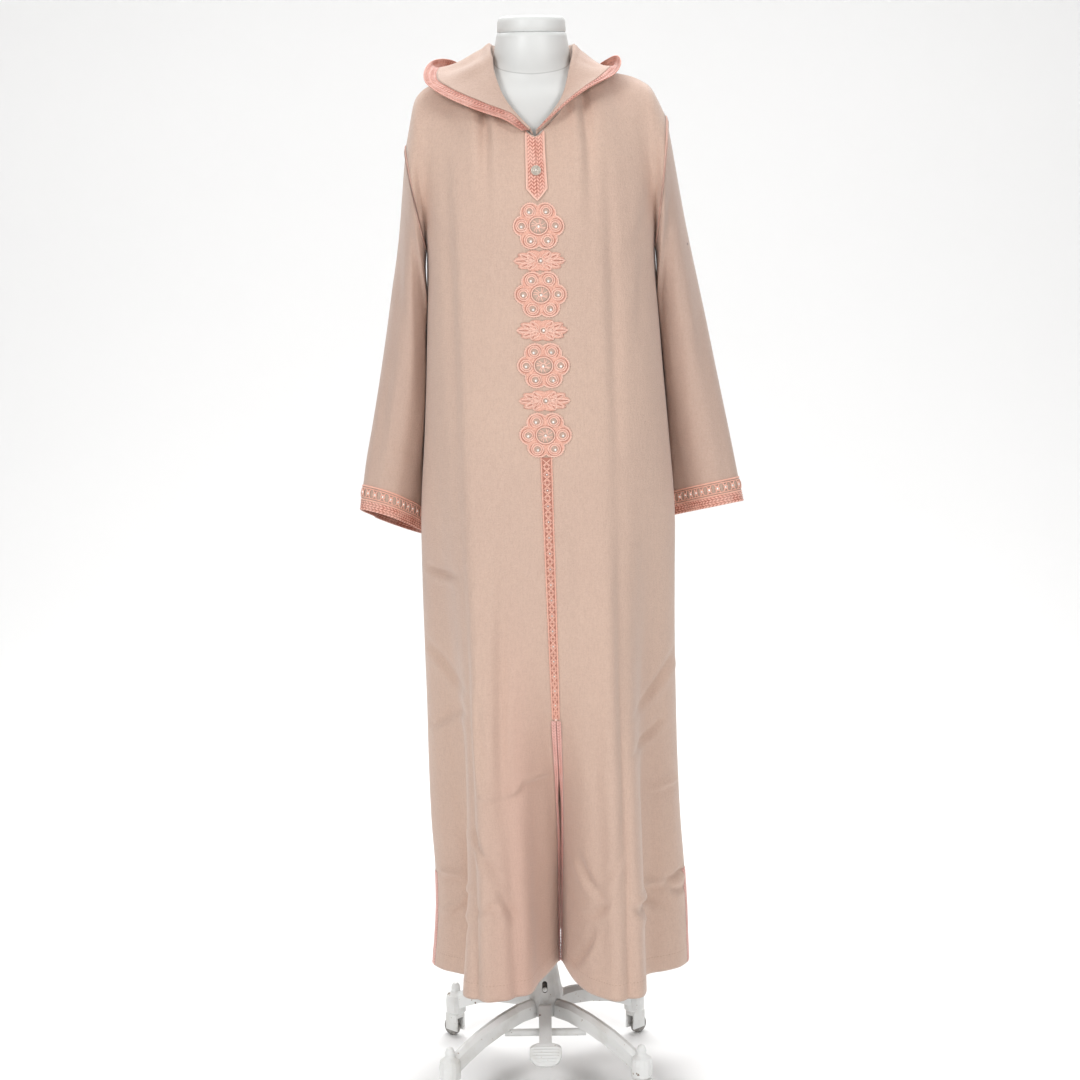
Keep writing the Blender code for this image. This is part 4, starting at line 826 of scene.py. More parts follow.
def gone(grid, axis):
    """Distance gone along one axis of a grid, at each of its points."""
    steps = np.linalg.norm(np.diff(grid, axis=axis), axis=2)
    start = np.zeros_like(np.take(steps, [0], axis=axis))
    return np.concatenate([start, np.cumsum(steps, axis=axis)], axis=axis)


def even(grid, rows, columns):
    """A grid redrawn with evenly spaced rows and columns."""
    for axis, count in ((0, rows), (1, columns)):
        reached = gone(grid, axis).mean(axis=1 - axis)
        place = np.interp(np.linspace(0, reached[-1], count), reached, np.arange(len(reached)))
        low = np.minimum(place.astype(int), len(reached) - 2)
        part = (place - low).reshape((-1, 1, 1) if axis == 0 else (1, -1, 1))
        grid = np.take(grid, low, axis=axis) * (1 - part) + np.take(grid, low + 1, axis=axis) * part
    return grid


def creased(grid, normals, creases, fade):
    """The grid with each crease pressed in: a soft trough with a low ridge beside it."""
    x, z = grid[..., 0], grid[..., 2]
    move = np.zeros(x.shape)
    for crease in creases:
        dx, dz = crease.x1 - crease.x0, crease.z1 - crease.z0
        whole = math.hypot(dx, dz)
        share = ((x - crease.x0) * dx + (z - crease.z0) * dz) / whole**2
        beside = ((x - crease.x0) * dz - (z - crease.z0) * dx) / whole
        inside = np.clip(share, 0, 1)
        beside = beside - crease.bow * np.sin(math.pi * inside)
        ends = np.where((share > 0) & (share < 1), np.sin(math.pi * inside), 0.0) ** 0.8
        trough = np.exp(-((beside / crease.width) ** 2))
        ridge = np.exp(-(((beside - 1.8 * crease.width) / (1.2 * crease.width)) ** 2))
        move += crease.depth * ends * (trough - 0.45 * ridge)
    return grid + normals * (move * fade)[..., None]


def add_mesh(
    name, points, faces, looks, nodes=(), uv=None, marks=None, flat=(), raised=None, link="dressed_form"
):
    """A mesh that rides on one moving part, with its thread lines as UV and its looks by face."""
    mesh = bpy.data.meshes.new(name)
    points = np.asarray(points, float) + np.array([CENTRE_X, CENTRE_Y, 0.0])
    mesh.from_pydata(points.tolist(), [], faces)
    for look in looks:
        mesh.materials.append(look)
    corners = np.empty(len(mesh.loops), int)
    mesh.loops.foreach_get("vertex_index", corners)
    if uv is not None:
        layer = mesh.uv_layers.new(name="Thread")
        layer.data.foreach_set("uv", np.asarray(uv, np.float32).reshape(-1, 2)[corners].ravel())
    if raised is not None:
        heights = mesh.attributes.new("raised", "FLOAT", "POINT")
        heights.data.foreach_set("value", np.asarray(raised, np.float32).ravel())
    mesh.shade_smooth()
    if marks is not None:
        mesh.polygons.foreach_set("material_index", marks)
    if len(flat):
        mesh.polygons.foreach_set("use_smooth", [not value for value in flat])
    mesh.update()
    made = bpy.data.objects.new(name, mesh)
    bpy.context.scene.collection.objects.link(made)
    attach(made, link)
    if nodes:
        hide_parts(*nodes)
    return made


def thicken(made, thick):
    """A wall of even thickness behind the outer face."""
    step = made.modifiers.new("Thickness", "SOLIDIFY")
    step.thickness = thick
    step.offset = -1.0
    step.use_even_offset = False
    return made


def shell(
    name, grid, look, nodes, uv, keep=None, closed=False, thick=CLOTH, raised=None, link="dressed_form"
):
    """Cloth on a grid of points, its outer face the grid itself."""
    rows, columns = grid.shape[:2]
    across = columns if closed else columns - 1
    i, j = np.meshgrid(np.arange(rows - 1), np.arange(across), indexing="ij")
    if keep is not None:
        i, j = i[keep], j[keep]
    i, j = i.ravel(), j.ravel()
    k = (j + 1) % columns
    faces = np.column_stack([i * columns + j, i * columns + k, (i + 1) * columns + k, (i + 1) * columns + j])
    used = np.unique(faces)
    index = np.zeros(rows * columns, int)
    index[used] = np.arange(len(used))
    pick = None if raised is None else raised.reshape(-1)[used]
    points, uv = grid.reshape(-1, 3)[used], uv.reshape(-1, 2)[used]
    made = add_mesh(name, points, index[faces].tolist(), [look], nodes, uv, raised=pick, link=link)
    return thicken(made, thick)


class Ground:
    """A patch of cloth that trim is laid on, by distance across it and up it."""

    def __init__(self, grid, across, up):
        self.both = np.concatenate([grid, unit(grid_normals(grid))], axis=2)
        self.across = across
        self.up = up

    def at(self, across, up, lift=0.0):
        """Points over the patch, moved out along its normals."""
        i = np.interp(up, self.up, np.arange(len(self.up)))
        j = np.interp(across, self.across, np.arange(len(self.across)))
        low_i = np.minimum(i.astype(int), len(self.up) - 2)
        low_j = np.minimum(j.astype(int), len(self.across) - 2)
        part_i, part_j = (i - low_i)[..., None], (j - low_j)[..., None]
        below = self.both[low_i, low_j] * (1 - part_j) + self.both[low_i, low_j + 1] * part_j
        above = self.both[low_i + 1, low_j] * (1 - part_j) + self.both[low_i + 1, low_j + 1] * part_j
        found = below * (1 - part_i) + above * part_i
        normal = unit(found[..., 3:])
        return found[..., :3] + normal * np.asarray(lift)[..., None], normal


class Work:
    """One piece gathered from cords, patches and stones."""

    def __init__(self):
        self.points, self.faces, self.uv, self.marks, self.flat = [], [], [], [], []

    def add(self, points, faces, uv, mark, flat=False):
        """Adds points and faces; the mark says which look they take."""
        start = sum(len(part) for part in self.points)
        self.points.append(np.asarray(points, float))
        self.uv.append(np.asarray(uv, float))
        self.faces.extend([tuple(start + p for p in face) for face in faces])
        self.marks.extend([mark] * len(faces))
        self.flat.extend([flat] * len(faces))

    def cord(self, path, normals, radius, closed=False, sides=6, mark=0):
        """A round cord along a path, its ends narrowed unless it closes on itself."""
        path, normals = np.asarray(path, float), np.asarray(normals, float)
        count = len(path)
        ahead = np.roll(path, -1, axis=0) - np.roll(path, 1, axis=0)
        if not closed:
            ahead[0], ahead[-1] = path[1] - path[0], path[-1] - path[-2]
        side = unit(np.cross(unit(ahead), normals))
        reached = reached_along(path)
        wide = np.full(count, radius)
        if not closed:
            wide[0] = wide[-1] = radius * 0.4
        angles = round_turn(sides)[None, :, None]
        ring = np.cos(angles) * side[:, None] + CORD_SQUASH * np.sin(angles) * normals[:, None]
        points = (path[:, None] + ring * wide[:, None, None]).reshape(-1, 3)
        around = np.arange(sides)[None] / sides
        uv = np.stack(np.broadcast_arrays(around, reached[:, None]), axis=2).reshape(-1, 2)
        faces = ring_faces(count, sides, closed)
        if not closed:
            faces.append(tuple(range(sides))[::-1])
            faces.append(tuple((count - 1) * sides + j for j in range(sides)))
        self.add(points, faces, uv, mark)

    def patch(self, ground, centre, outline, lift, rings=5, mark=0, thick=0.0006):
        """A thin pad inside an outline, laid on the ground, with a rounded edge."""
        outline = np.asarray(outline, float)
        count = len(outline)
        shares = np.concatenate([np.linspace(0, 1, rings + 1)[1:], [1.0]])
        rise = np.concatenate([np.full(rings, thick), [0.0]])
        rise[rings - 1] = thick * 0.7
        spread = centre + outline[None] * shares[:, None, None]
        places, _ = ground.at(spread[..., 0], spread[..., 1], lift + np.repeat(rise[:, None], count, axis=1))
        middle, _ = ground.at(np.array([centre[0]]), np.array([centre[1]]), np.array([lift + thick]))
        points = np.concatenate([middle, places.reshape(-1, 3)])
        uv = np.concatenate([[centre], spread.reshape(-1, 2)])
        self.add(points, fan_faces(len(shares), count), uv, mark)

    def stone(self, place, normal, radius, mark=1):
        """A faceted stone on a flat foot."""
        level = np.array([1.0, 0.0, 0.0]) if abs(normal[0]) < 0.8 else np.array([0.0, 0.0, 1.0])
        side = unit(np.cross(normal, level))
        other = np.cross(normal, side)
        points = []
        for share, high, turn in ((1.0, 0.0, 0.0), (1.0, 0.30, 0.0), (0.62, 0.72, 0.5)):
            for j in range(STONE_SIDES):
                angle = 2 * math.pi * (j + turn) / STONE_SIDES
                away = side * math.cos(angle) + other * math.sin(angle)
                points.append(place + radius * (share * away + high * normal))
        faces = [tuple(range(STONE_SIDES))[::-1]]
        for j in range(STONE_SIDES):
            k = (j + 1) % STONE_SIDES
            faces.append((j, k, STONE_SIDES + k, STONE_SIDES + j))
            faces.append((STONE_SIDES + j, STONE_SIDES + k, 2 * STONE_SIDES + j))
            faces.append((STONE_SIDES + k, 2 * STONE_SIDES + k, 2 * STONE_SIDES + j))
        faces.append(tuple(2 * STONE_SIDES + j for j in range(STONE_SIDES)))
        self.add(points, faces, np.zeros((len(points), 2)), mark, flat=True)

    def finish(self, name, looks, nodes=(), link="dressed_form"):
        """The object that the gathered parts make."""
        points, uv = np.concatenate(self.points), np.concatenate(self.uv)
        return add_mesh(name, points, self.faces, looks, nodes, uv, self.marks, self.flat, link=link)


class Value:
    """A number in a material, with the arithmetic that the looks use."""

    def __init__(self, look, socket):
        self.look = look
        self.socket = socket

    def _with(self, operation, *others):
        return self.look.node("ShaderNodeMath", {"operation": operation}, dict(enumerate((self, *others))))

    def __add__(self, other):
        return self._with("ADD", other)

    def __sub__(self, other):
        return self._with("SUBTRACT", other)

    def __mul__(self, other):
        return self._with("MULTIPLY", other)

    def __truediv__(self, other):
        return self._with("DIVIDE", other)

    def __rsub__(self, other):
        return self * -1.0 + other

    __radd__ = __add__
    __rmul__ = __mul__

    def wave(self, length):
        """0 to 1 and back over each length."""
        return (self * (2 * math.pi / length))._with("SINE") * 0.5 + 0.5

    def near(self, place, width):
        """1 at a place, fading to 0 at a width from it."""
        away = (self - place)._with("ABSOLUTE") / width
        return 1.0 - away._with("MINIMUM", 1.0)

    def between(self, low, high):
        """0 below the low value, 1 above the high one, smooth between them."""
        names = {"Value": self, "From Min": low, "From Max": high}
        return self.look.node("ShaderNodeMapRange", {"interpolation_type": "SMOOTHSTEP"}, names)


class Look:
    """A material on a Principled shader."""

    def __init__(self, name):
        self.material = bpy.data.materials.new(name)
        self.material.use_nodes = True
        self.tree = self.material.node_tree
        self.shader = self.tree.nodes["Principled BSDF"]

    def put(self, socket, value):
        """Sets a socket, or links a value to it."""
        if isinstance(value, Value):
            self.tree.links.new(value.socket, socket)
        elif isinstance(value, tuple) and len(value) == 3 and socket.type == "RGBA":
            socket.default_value = (*value, 1.0)
        else:
            socket.default_value = value

    def node(self, kind, settings=None, inputs=None, output=0):
        """Any node: its settings first, then values or links by socket, and one of its outputs."""
        made = self.tree.nodes.new(kind)
        for key, value in (settings or {}).items():
            setattr(made, key, value)
        for key, value in (inputs or {}).items():
            self.put(made.inputs[key], value)
        return Value(self, made.outputs[output])

    def noise(self, scale, detail=2.0, vector=None, rough=0.5):
        """Smooth noise about 0.5, in the object's own space unless a vector is given."""
        if vector is None:
            vector = self.node("ShaderNodeTexCoord", output=3)
        inputs = {"Vector": vector, "Scale": scale, "Detail": detail, "Roughness": rough}
        return self.node("ShaderNodeTexNoise", {}, inputs)

    def stretched(self, scale, sx, sy, sz, detail=2.0):
        """Noise drawn out along some axes of the object's own space."""
        place = self.node("ShaderNodeTexCoord", output=3)
        drawn = self.node("ShaderNodeMapping", {}, {"Vector": place, "Scale": (sx, sy, sz)})
        return self.noise(scale, detail, drawn)

    def thread(self):
        """Distances across and along the cloth."""
        place = self.node("ShaderNodeUVMap", {"uv_map": "Thread"})
        apart = self.tree.nodes.new("ShaderNodeSeparateXYZ")
        self.put(apart.inputs[0], place)
        return place, Value(self, apart.outputs[0]), Value(self, apart.outputs[1])

    def place(self):
        """The three coordinates of the object's own space."""
        apart = self.tree.nodes.new("ShaderNodeSeparateXYZ")
        self.put(apart.inputs[0], self.node("ShaderNodeTexCoord", output=3))
        return [Value(self, apart.outputs[n]) for n in range(3)]

    def mixed(self, share, first, second):
        """A colour between two."""
        return self.node("ShaderNodeMix", {"data_type": "RGBA"}, {0: share, 6: first, 7: second}, output=2)

    def bump(self, height, distance, strength=1.0, under=None):
        """A normal from a height."""
        inputs = {"Height": height, "Distance": distance, "Strength": strength}
        if under is not None:
            inputs["Normal"] = under
        return self.node("ShaderNodeBump", {}, inputs)

    def done(self, **values):
        """Sets the shader's sockets, their names with spaces written as underscores."""
        for key, value in values.items():
            self.put(self.shader.inputs[key.replace("_", " ")], value)
        return self.material


def crepe(name, shade=0.0, hem=False, stain=False):
    """Fine crepe cloth: a close weave, faint slubs and a softly uneven colour. Shade darkens it all as
    painted shade; with the hem come the hem's stitch line and painted shade in the fold left of the slit.
    """
    look = Look(name)
    _, across, up = look.thread()
    cloudy = look.noise(3.2, 3.0).between(0.35, 0.68)
    crinkle = look.noise(560, 3.0, rough=0.7).between(0.30, 0.70)
    slubs = look.stretched(420, 1.0, 1.0, 0.22, 2.0).between(0.40, 0.66)
    picks = look.stretched(420, 0.22, 0.22, 1.0, 2.0).between(0.40, 0.66)
    colour = look.mixed(cloudy, (0.585, 0.408, 0.325), (0.622, 0.438, 0.344))
    colour = look.mixed(slubs * 0.30, colour, (0.490, 0.330, 0.262))
    colour = look.mixed(picks * 0.22, colour, (0.515, 0.348, 0.275))
    colour = look.mixed(crinkle * 0.40, colour, (0.740, 0.570, 0.475))
    # Painted shade: the whole cloth is darkened by the share given as shade.
    colour = look.mixed(shade, colour, (0.330, 0.230, 0.200))
    if hem:
        line = up.near(HEM_FOLD, 0.0009) * across.wave(0.0052).between(0.35, 0.55)
        colour = look.mixed(line * 0.55, colour, (0.380, 0.215, 0.150))
    x, y, z = look.place()
    # Painted shade: on the lower front, left of the slit, the cloth turns pinker and darker where it hangs in
    # the inner fold.
    if hem:
        inner = x.near(CENTRE_X - 0.036, 0.062) * z.between(0.860, 0.500) * y.between(0.02, -0.02)
        colour = look.mixed(inner * 0.34, colour, (0.640, 0.365, 0.295))
    if stain:
        spot = x.near(STAIN_X, 0.0022) * z.near(STAIN_Z, 0.0030) * y.between(0.02, -0.02)
        colour = look.mixed(spot.between(0.1, 0.6) * 0.85, colour, (0.130, 0.055, 0.045))
    weave = across.wave(0.0011) + up.wave(0.0009)
    rumple = look.stretched(26, 1.0, 1.0, 0.45, 3.0)
    soft = look.bump(rumple, 0.0045, 0.55)
    normal = look.bump(weave * 0.15 + crinkle * 0.6 + slubs * 0.3 + picks * 0.2, 0.00045, 0.75, soft)
    rough = crinkle * 0.10 + 0.78
    look.done(Sheen_Weight=0.35, Sheen_Roughness=0.45)
    return look.done(Base_Color=colour, Roughness=rough, Normal=normal)


def braided(name, light, deep, shine):
    """Silk braid: painted shade deepens the colour in its furrows, a painted highlight lights the tops of its
    raised threads, and painted sheen lies on it in random patches.
    """
    look = Look(name)
    _, _, along_it = look.thread()
    raised = look.node("ShaderNodeAttribute", {"attribute_name": "raised"}, output=2)
    fine = look.noise(1400, 2.0)
    patchy = look.noise(55, 2.0).between(0.35, 0.65)
    strand = along_it.wave(0.0012)
    # Painted shade and light: the colour follows the braid's relief, deep in the furrows and light on the
    # raised threads.
    colour = look.mixed(raised.between(0.16, 0.80), deep, light)
    # Painted sheen in random patches.
    colour = look.mixed(patchy * 0.25, colour, shine)
    # Painted highlight on the highest threads.
    colour = look.mixed(raised.between(0.80, 1.0) * fine * 0.6, colour, shine)
    normal = look.bump(strand * 0.6 + fine * 0.4, 0.00016, 0.6)
    rough = 0.58 - raised * 0.12
    return look.done(Base_Color=colour, Roughness=rough, Normal=normal, Sheen_Weight=0.25)


def twisted(name, light, deep):
    """Silk cord, twisted, with a soft shine; its colour is painted darker in the grooves of the twist as
    shade.
    """
    look = Look(name)
    _, around, along_it = look.thread()
    twist = (along_it + around * 0.0016).wave(0.0016)
    fine = look.noise(900, 2.0)
    patchy = look.noise(70, 2.0).between(0.3, 0.7)
    # Painted shade: darker in the grooves of the twist, lighter on its crests.
    colour = look.mixed(twist.between(0.10, 0.75), deep, light)
    colour = look.mixed(patchy * 0.35, colour, deep)
    normal = look.bump(twist + fine * 0.3, 0.00022, 0.7)
    return look.done(Base_Color=colour, Roughness=0.5 + fine * 0.1, Normal=normal, Sheen_Weight=0.25)


def padded_thread(name, light, deep):
    """Flat filling stitches under the cords, darker where their rows and speckle lie low: painted shade
    between the stitches, along with the thread's own uneven tone.
    """
    look = Look(name)
    _, across, up = look.thread()
    rows = (up + across * 0.4).wave(0.0019)
    fine = look.noise(620, 3.0, rough=0.7).between(0.36, 0.62)
    # Colour follows the bump: painted shade where the stitches lie low, and the thread's own uneven tone.
    colour = look.mixed(rows * 0.30 + fine * 0.70, deep, light)
    normal = look.bump(rows * 0.5 + fine * 0.5, 0.00040, 0.8)
    return look.done(Base_Color=colour, Roughness=0.55 + fine * 0.1, Normal=normal, Sheen_Weight=0.2)


def cut_stone(name, colour, roughness, metal, painted_glow):
    """Foil-backed cut stones, a little uneven in tone, that glow a little as a painted glint."""
    look = Look(name)
    tone = look.noise(380, 1.0).between(0.3, 0.7)
    shade = tuple(0.72 * part for part in colour)
    base = look.mixed(tone, colour, shade)
    # Painted glint: the stones glow faintly in their own colour.
    return look.done(
        Base_Color=base, Roughness=tone * 0.08 + roughness, Metallic=metal, Coat_Weight=0.6,
        Emission_Color=base, Emission_Strength=painted_glow,
    )


def glossy_shell(name):
    """Painted form, off-white and worn a little, with thin grey seams."""
    look = Look(name)
    _, y, z = look.place()
    neck_seam = (z - y * 0.42).near(NECK_SEAM_Z, 0.0011)
    side_seam = y.near(CENTRE_Y, 0.0011)
    seam = (neck_seam + side_seam)._with("MINIMUM", 1.0)
    dirt = look.noise(14, 4.0).between(0.52, 0.78)
    fine = look.noise(240, 2.0)
    colour = look.mixed(dirt * 0.35, (0.700, 0.708, 0.696), (0.590, 0.580, 0.555))
    colour = look.mixed(seam * 0.75, colour, (0.420, 0.420, 0.410))
    normal = look.bump(fine * 0.4 - seam, 0.0003, 0.4)
    rough = 0.46 + dirt * 0.14 + fine * 0.05
    return look.done(Base_Color=colour, Roughness=rough, Normal=normal, Coat_Weight=0.10, Coat_Roughness=0.30)


def brushed_steel(name):
    """Bright steel, brushed round its length."""
    look = Look(name)
    lines = look.stretched(60, 1.0, 1.0, 22.0, 3.0)
    marks = look.noise(30, 4.0).between(0.55, 0.75)
    colour = look.mixed(marks * 0.5, (0.62, 0.62, 0.61), (0.36, 0.33, 0.30))
    normal = look.bump(lines, 0.00010, 0.5)
    return look.done(Base_Color=colour, Roughness=lines * 0.2 + 0.22, Metallic=1.0, Normal=normal)


def chipped_paint(name):
    """Old white paint on cast iron, chipped and spotted with rust."""
    look = Look(name)
    chips = look.noise(70, 4.0, rough=0.62).between(0.675, 0.70)
    rim = look.noise(70, 4.0, rough=0.62).between(0.655, 0.685)
    grime = look.noise(22, 4.0).between(0.45, 0.75)
    cast = look.noise(260, 3.0)
    spots = look.noise(190, 2.0).between(0.72, 0.76)
    colour = look.mixed(grime * 0.55, (0.780, 0.785, 0.775), (0.560, 0.545, 0.500))
    colour = look.mixed(rim * 0.5, colour, (0.520, 0.400, 0.290))
    colour = look.mixed(spots * 0.55, colour, (0.300, 0.150, 0.080))
    colour = look.mixed(chips, colour, (0.150, 0.095, 0.070))
    rough = 0.36 + grime * 0.20 + chips * 0.30
    normal = look.bump(cast * 0.5 - chips * 0.8, 0.0007, 0.6)
    return look.done(Base_Color=colour, Roughness=rough, Normal=normal, Coat_Weight=0.10)


def old_rubber(name, dark, pale):
    """Grey tyre, dusty; near black, the same look is the painted shadow in the column's slot."""
    look = Look(name)
    dust = look.noise(120, 4.0).between(0.40, 0.70)
    colour = look.mixed(dust, dark, pale)
    normal = look.bump(look.noise(500, 2.0), 0.0003, 0.5)
    return look.done(Base_Color=colour, Roughness=0.72 + dust * 0.15, Normal=normal)


def pale_floor(name):
    """Plain pale floor."""
    look = Look(name)
    soft = look.noise(1.5, 2.0)
    colour = look.mixed(soft, (0.93, 0.93, 0.928), (0.945, 0.945, 0.943))
    return look.done(Base_Color=colour, Roughness=0.9)


LOOKS = {
    "cloth": crepe("kaftan_crepe", hem=True),
    # The sleeves and the hood take the same crepe, darkened with painted shade.
    "sleeve_cloth": crepe("sleeve_crepe_painted_shade", shade=0.24, stain=True),
    "hood_cloth": crepe("hood_crepe_painted_shade", shade=0.22),
    # Braids by light, deep and shine colours: deep is the painted shade of the furrows, shine the painted
    # highlight.
    "braid": braided("peach_silk_braid", (0.860, 0.450, 0.355), (0.420, 0.135, 0.090), (0.950, 0.660, 0.560)),
    "rim_braid": braided(
        "coral_silk_braid", (0.790, 0.375, 0.290), (0.330, 0.095, 0.062), (0.930, 0.600, 0.500)
    ),
    "pink_braid": braided(
        "pink_silk_braid", (0.850, 0.490, 0.430), (0.500, 0.190, 0.150), (0.930, 0.680, 0.630)
    ),
    # Cords: the deep colour is painted shade in the grooves of the twist.
    "cord": twisted("peach_cord", (0.950, 0.600, 0.480), (0.800, 0.400, 0.300)),
    "cord_deep": twisted("coral_cord", (0.620, 0.270, 0.195), (0.420, 0.160, 0.115)),
    "cord_pale": twisted("pale_peach_cord", (0.960, 0.680, 0.570), (0.820, 0.450, 0.350)),
    # Filling: the deep colour is painted shade between the stitches, with the thread's own uneven tone.
    "pad": padded_thread("peach_filling", (0.930, 0.560, 0.440), (0.640, 0.290, 0.215)),
    # Stones and button glow a little as a painted glint, given last.
    "stone": cut_stone("pale_stones", (0.95, 0.93, 0.90), 0.15, 0.25, 0.30),
    "silver": cut_stone("button_silver", (0.66, 0.59, 0.51), 0.36, 0.55, 0.03),
    "form": glossy_shell("form_shell"),
    "steel": brushed_steel("mast_steel"),
    "paint": chipped_paint("stand_paint"),
    "rubber": old_rubber("wheel_rubber", (0.200, 0.190, 0.180), (0.420, 0.400, 0.370)),
    # The slot's recess is a near-black sheet: painted shadow.
    "dark": old_rubber("slot_shadow", (0.030, 0.026, 0.024), (0.090, 0.075, 0.065)),
}


def depth_at(grid, x, z):
    """How far back a panel lies at a place seen from the front, at each of its sheets there."""
    a, b = grid[:-1, :-1].reshape(-1, 3), grid[:-1, 1:].reshape(-1, 3)
    c, d = grid[1:, 1:].reshape(-1, 3), grid[1:, :-1].reshape(-1, 3)
    found = []
    for p, q, r in ((a, b, c), (a, c, d)):
        whole = (q[:, 0] - p[:, 0]) * (r[:, 2] - p[:, 2]) - (r[:, 0] - p[:, 0]) * (q[:, 2] - p[:, 2])
        whole = np.where(np.abs(whole) < 1e-12, 1e-12, whole)
        v = ((x - p[:, 0]) * (r[:, 2] - p[:, 2]) - (r[:, 0] - p[:, 0]) * (z - p[:, 2])) / whole
        w = ((q[:, 0] - p[:, 0]) * (z - p[:, 2]) - (x - p[:, 0]) * (q[:, 2] - p[:, 2])) / whole
        inside = (v >= 0) & (w >= 0) & (v + w <= 1)
        found.extend((p[:, 1] + v * (q[:, 1] - p[:, 1]) + w * (r[:, 1] - p[:, 1]))[inside])
    return found


def clear_of_panels(place, front, back):
    """The place itself, or if a panel is in its way the nearest one in front of it or behind it."""
    x, y, z = place
    if y < 0:
        return np.array([x, min([y] + [depth - HOOD_CLEAR for depth in depth_at(front, x, z)]), z])
    return np.array([x, max([y] + [depth + HOOD_CLEAR for depth in depth_at(back, x, z)]), z])


def hood_grids(front, back):
    """Points of the hood's cloth and of the braid along its rim."""
    cloth, braid = [], []
    for step in range(HOOD_COLUMNS + 1):
        turn = -1 + 2 * step / HOOD_COLUMNS
        run = hood_section(turn, 41)
        run = np.array([clear_of_panels(place, front, back) for place in run])
        whole = length(run)
        ahead = hood_section(min(turn + 0.02, 1.0), 3)[-1] - hood_section(max(turn - 0.02, -1.0), 3)[-1]
        slant = np.linalg.norm(np.cross(unit(ahead), unit(run[-1] - run[-6])))
        edge = max(whole - HOOD_BRAID / max(slant, 0.55), whole * 0.18)
        column = [hood_foot(turn)]
        for k in range(HOOD_ROWS):
            column.append(at_distance(run, edge * k / (HOOD_ROWS - 1)))
        cloth.append(column)
        braid.append([at_distance(run, edge), at_distance(run, (edge + whole) / 2), at_distance(run, whole)])
    return np.array(cloth).transpose(1, 0, 2)[:, ::-1], np.array(braid).transpose(1, 0, 2)[:, ::-1]


Marks = namedtuple("Marks", "side_row slit_row yoke_row side middle")


def fine_panel(face):
    """The panel's grid drawn finer, the solid's own grid, and where its edges lie in the finer one."""
    grid = panel_grid(face)
    half = (FRONT_NECK_COLUMNS if face == "front" else BACK_NECK_COLUMNS) + SHOULDER_COLUMNS
    rows = [round((high - low) / CELL_UP) for low, high in zip(ROW_HEIGHTS, ROW_HEIGHTS[1:])]
    rows += [YOKE_STEPS] * YOKE_ROWS
    quarter = [SIDE_STEPS] + [COLUMN_STEPS] * (half - 2) + [SLIT_STEPS]
    columns = quarter + quarter[::-1]
    fine = across_grid(finer(grid, rows), columns)
    row_at = np.concatenate([[0], np.cumsum(rows)])
    middle = sum(columns[:half])
    side_row = row_at[ROW_HEIGHTS.index(SIDE_SLIT_Z)]
    slit_row = row_at[ROW_HEIGHTS.index(SLIT_TOP_Z)]
    marks = Marks(side_row, slit_row, row_at[len(ROW_HEIGHTS) - 1], SIDE_STEPS, middle)
    return fine, grid, marks


def dress_panel(grid, marks, creases):
    """Creases and the turned hem, fading out at the side seams and the top."""
    normals = unit(grid_normals(grid))
    across, up = gone(grid, 1), gone(grid, 0)
    from_side = np.minimum(across, across[:, -1:] - across)
    from_top = up[-1:] - up
    fade = smooth_step(from_side / FADE_SIDE) * smooth_step(from_top / FADE_TOP)
    grid = creased(grid, normals, creases, fade)
    hem = smooth_step((HEM_FOLD - up) / 0.0030 + 0.5) * smooth_step(from_side / 0.010)
    grid = grid + normals * (hem * HEM_PROUD)[..., None]
    middle = across[:, marks.middle : marks.middle + 1]
    return grid, np.stack([across - middle, up], axis=2)


def braid_height(across, along_it, bands, pitch):
    """Height of braid, 0 to 1: rounded rows side by side, their threads leaning opposite ways in turn."""
    place = np.clip(across, 0, 0.9999) * bands
    lean = np.where(np.floor(place) % 2 == 0, 1.0, -1.0)
    inside = place % 1.0
    ridge = np.sin(math.pi * inside) ** 0.7
    thread = 0.5 + 0.5 * np.cos(2 * math.pi * (along_it / pitch + lean * inside * 0.8))
    return ridge**0.5 * (0.15 + 0.85 * thread**0.8)


def relief(name, grid, node, bands, pitch=CUFF_PITCH, look="braid", high=0.0013):
    """Braid on a strip of grid, its rows across the width and its columns along the length."""
    wide = gone(grid, 0)[-1].mean()
    long = gone(grid, 1)[:, -1].mean()
    grid = even(grid, max(int(wide / BRAID_CELL), bands * 4) + 1, int(long / BRAID_CELL) + 1)
    normals = unit(grid_normals(grid))
    across = gone(grid, 0)
    share = across / np.maximum(across[-1:], 1e-9)
    along_it = gone(grid, 1)
    raised = braid_height(share, along_it, bands, pitch)
    grid = grid + normals * (BRAID_PROUD + raised * high)[..., None]
    uv = np.stack([across, along_it], axis=2)
    # The edges take a middle value, so the painted shade of the furrows doesn't darken them.
    raised[0] = raised[-1] = 0.6
    shell(name, grid, LOOKS[look], [node], uv, thick=BRAID_THICK, raised=raised)


Body = namedtuple("Body", "front back marks back_marks front_rough back_rough")


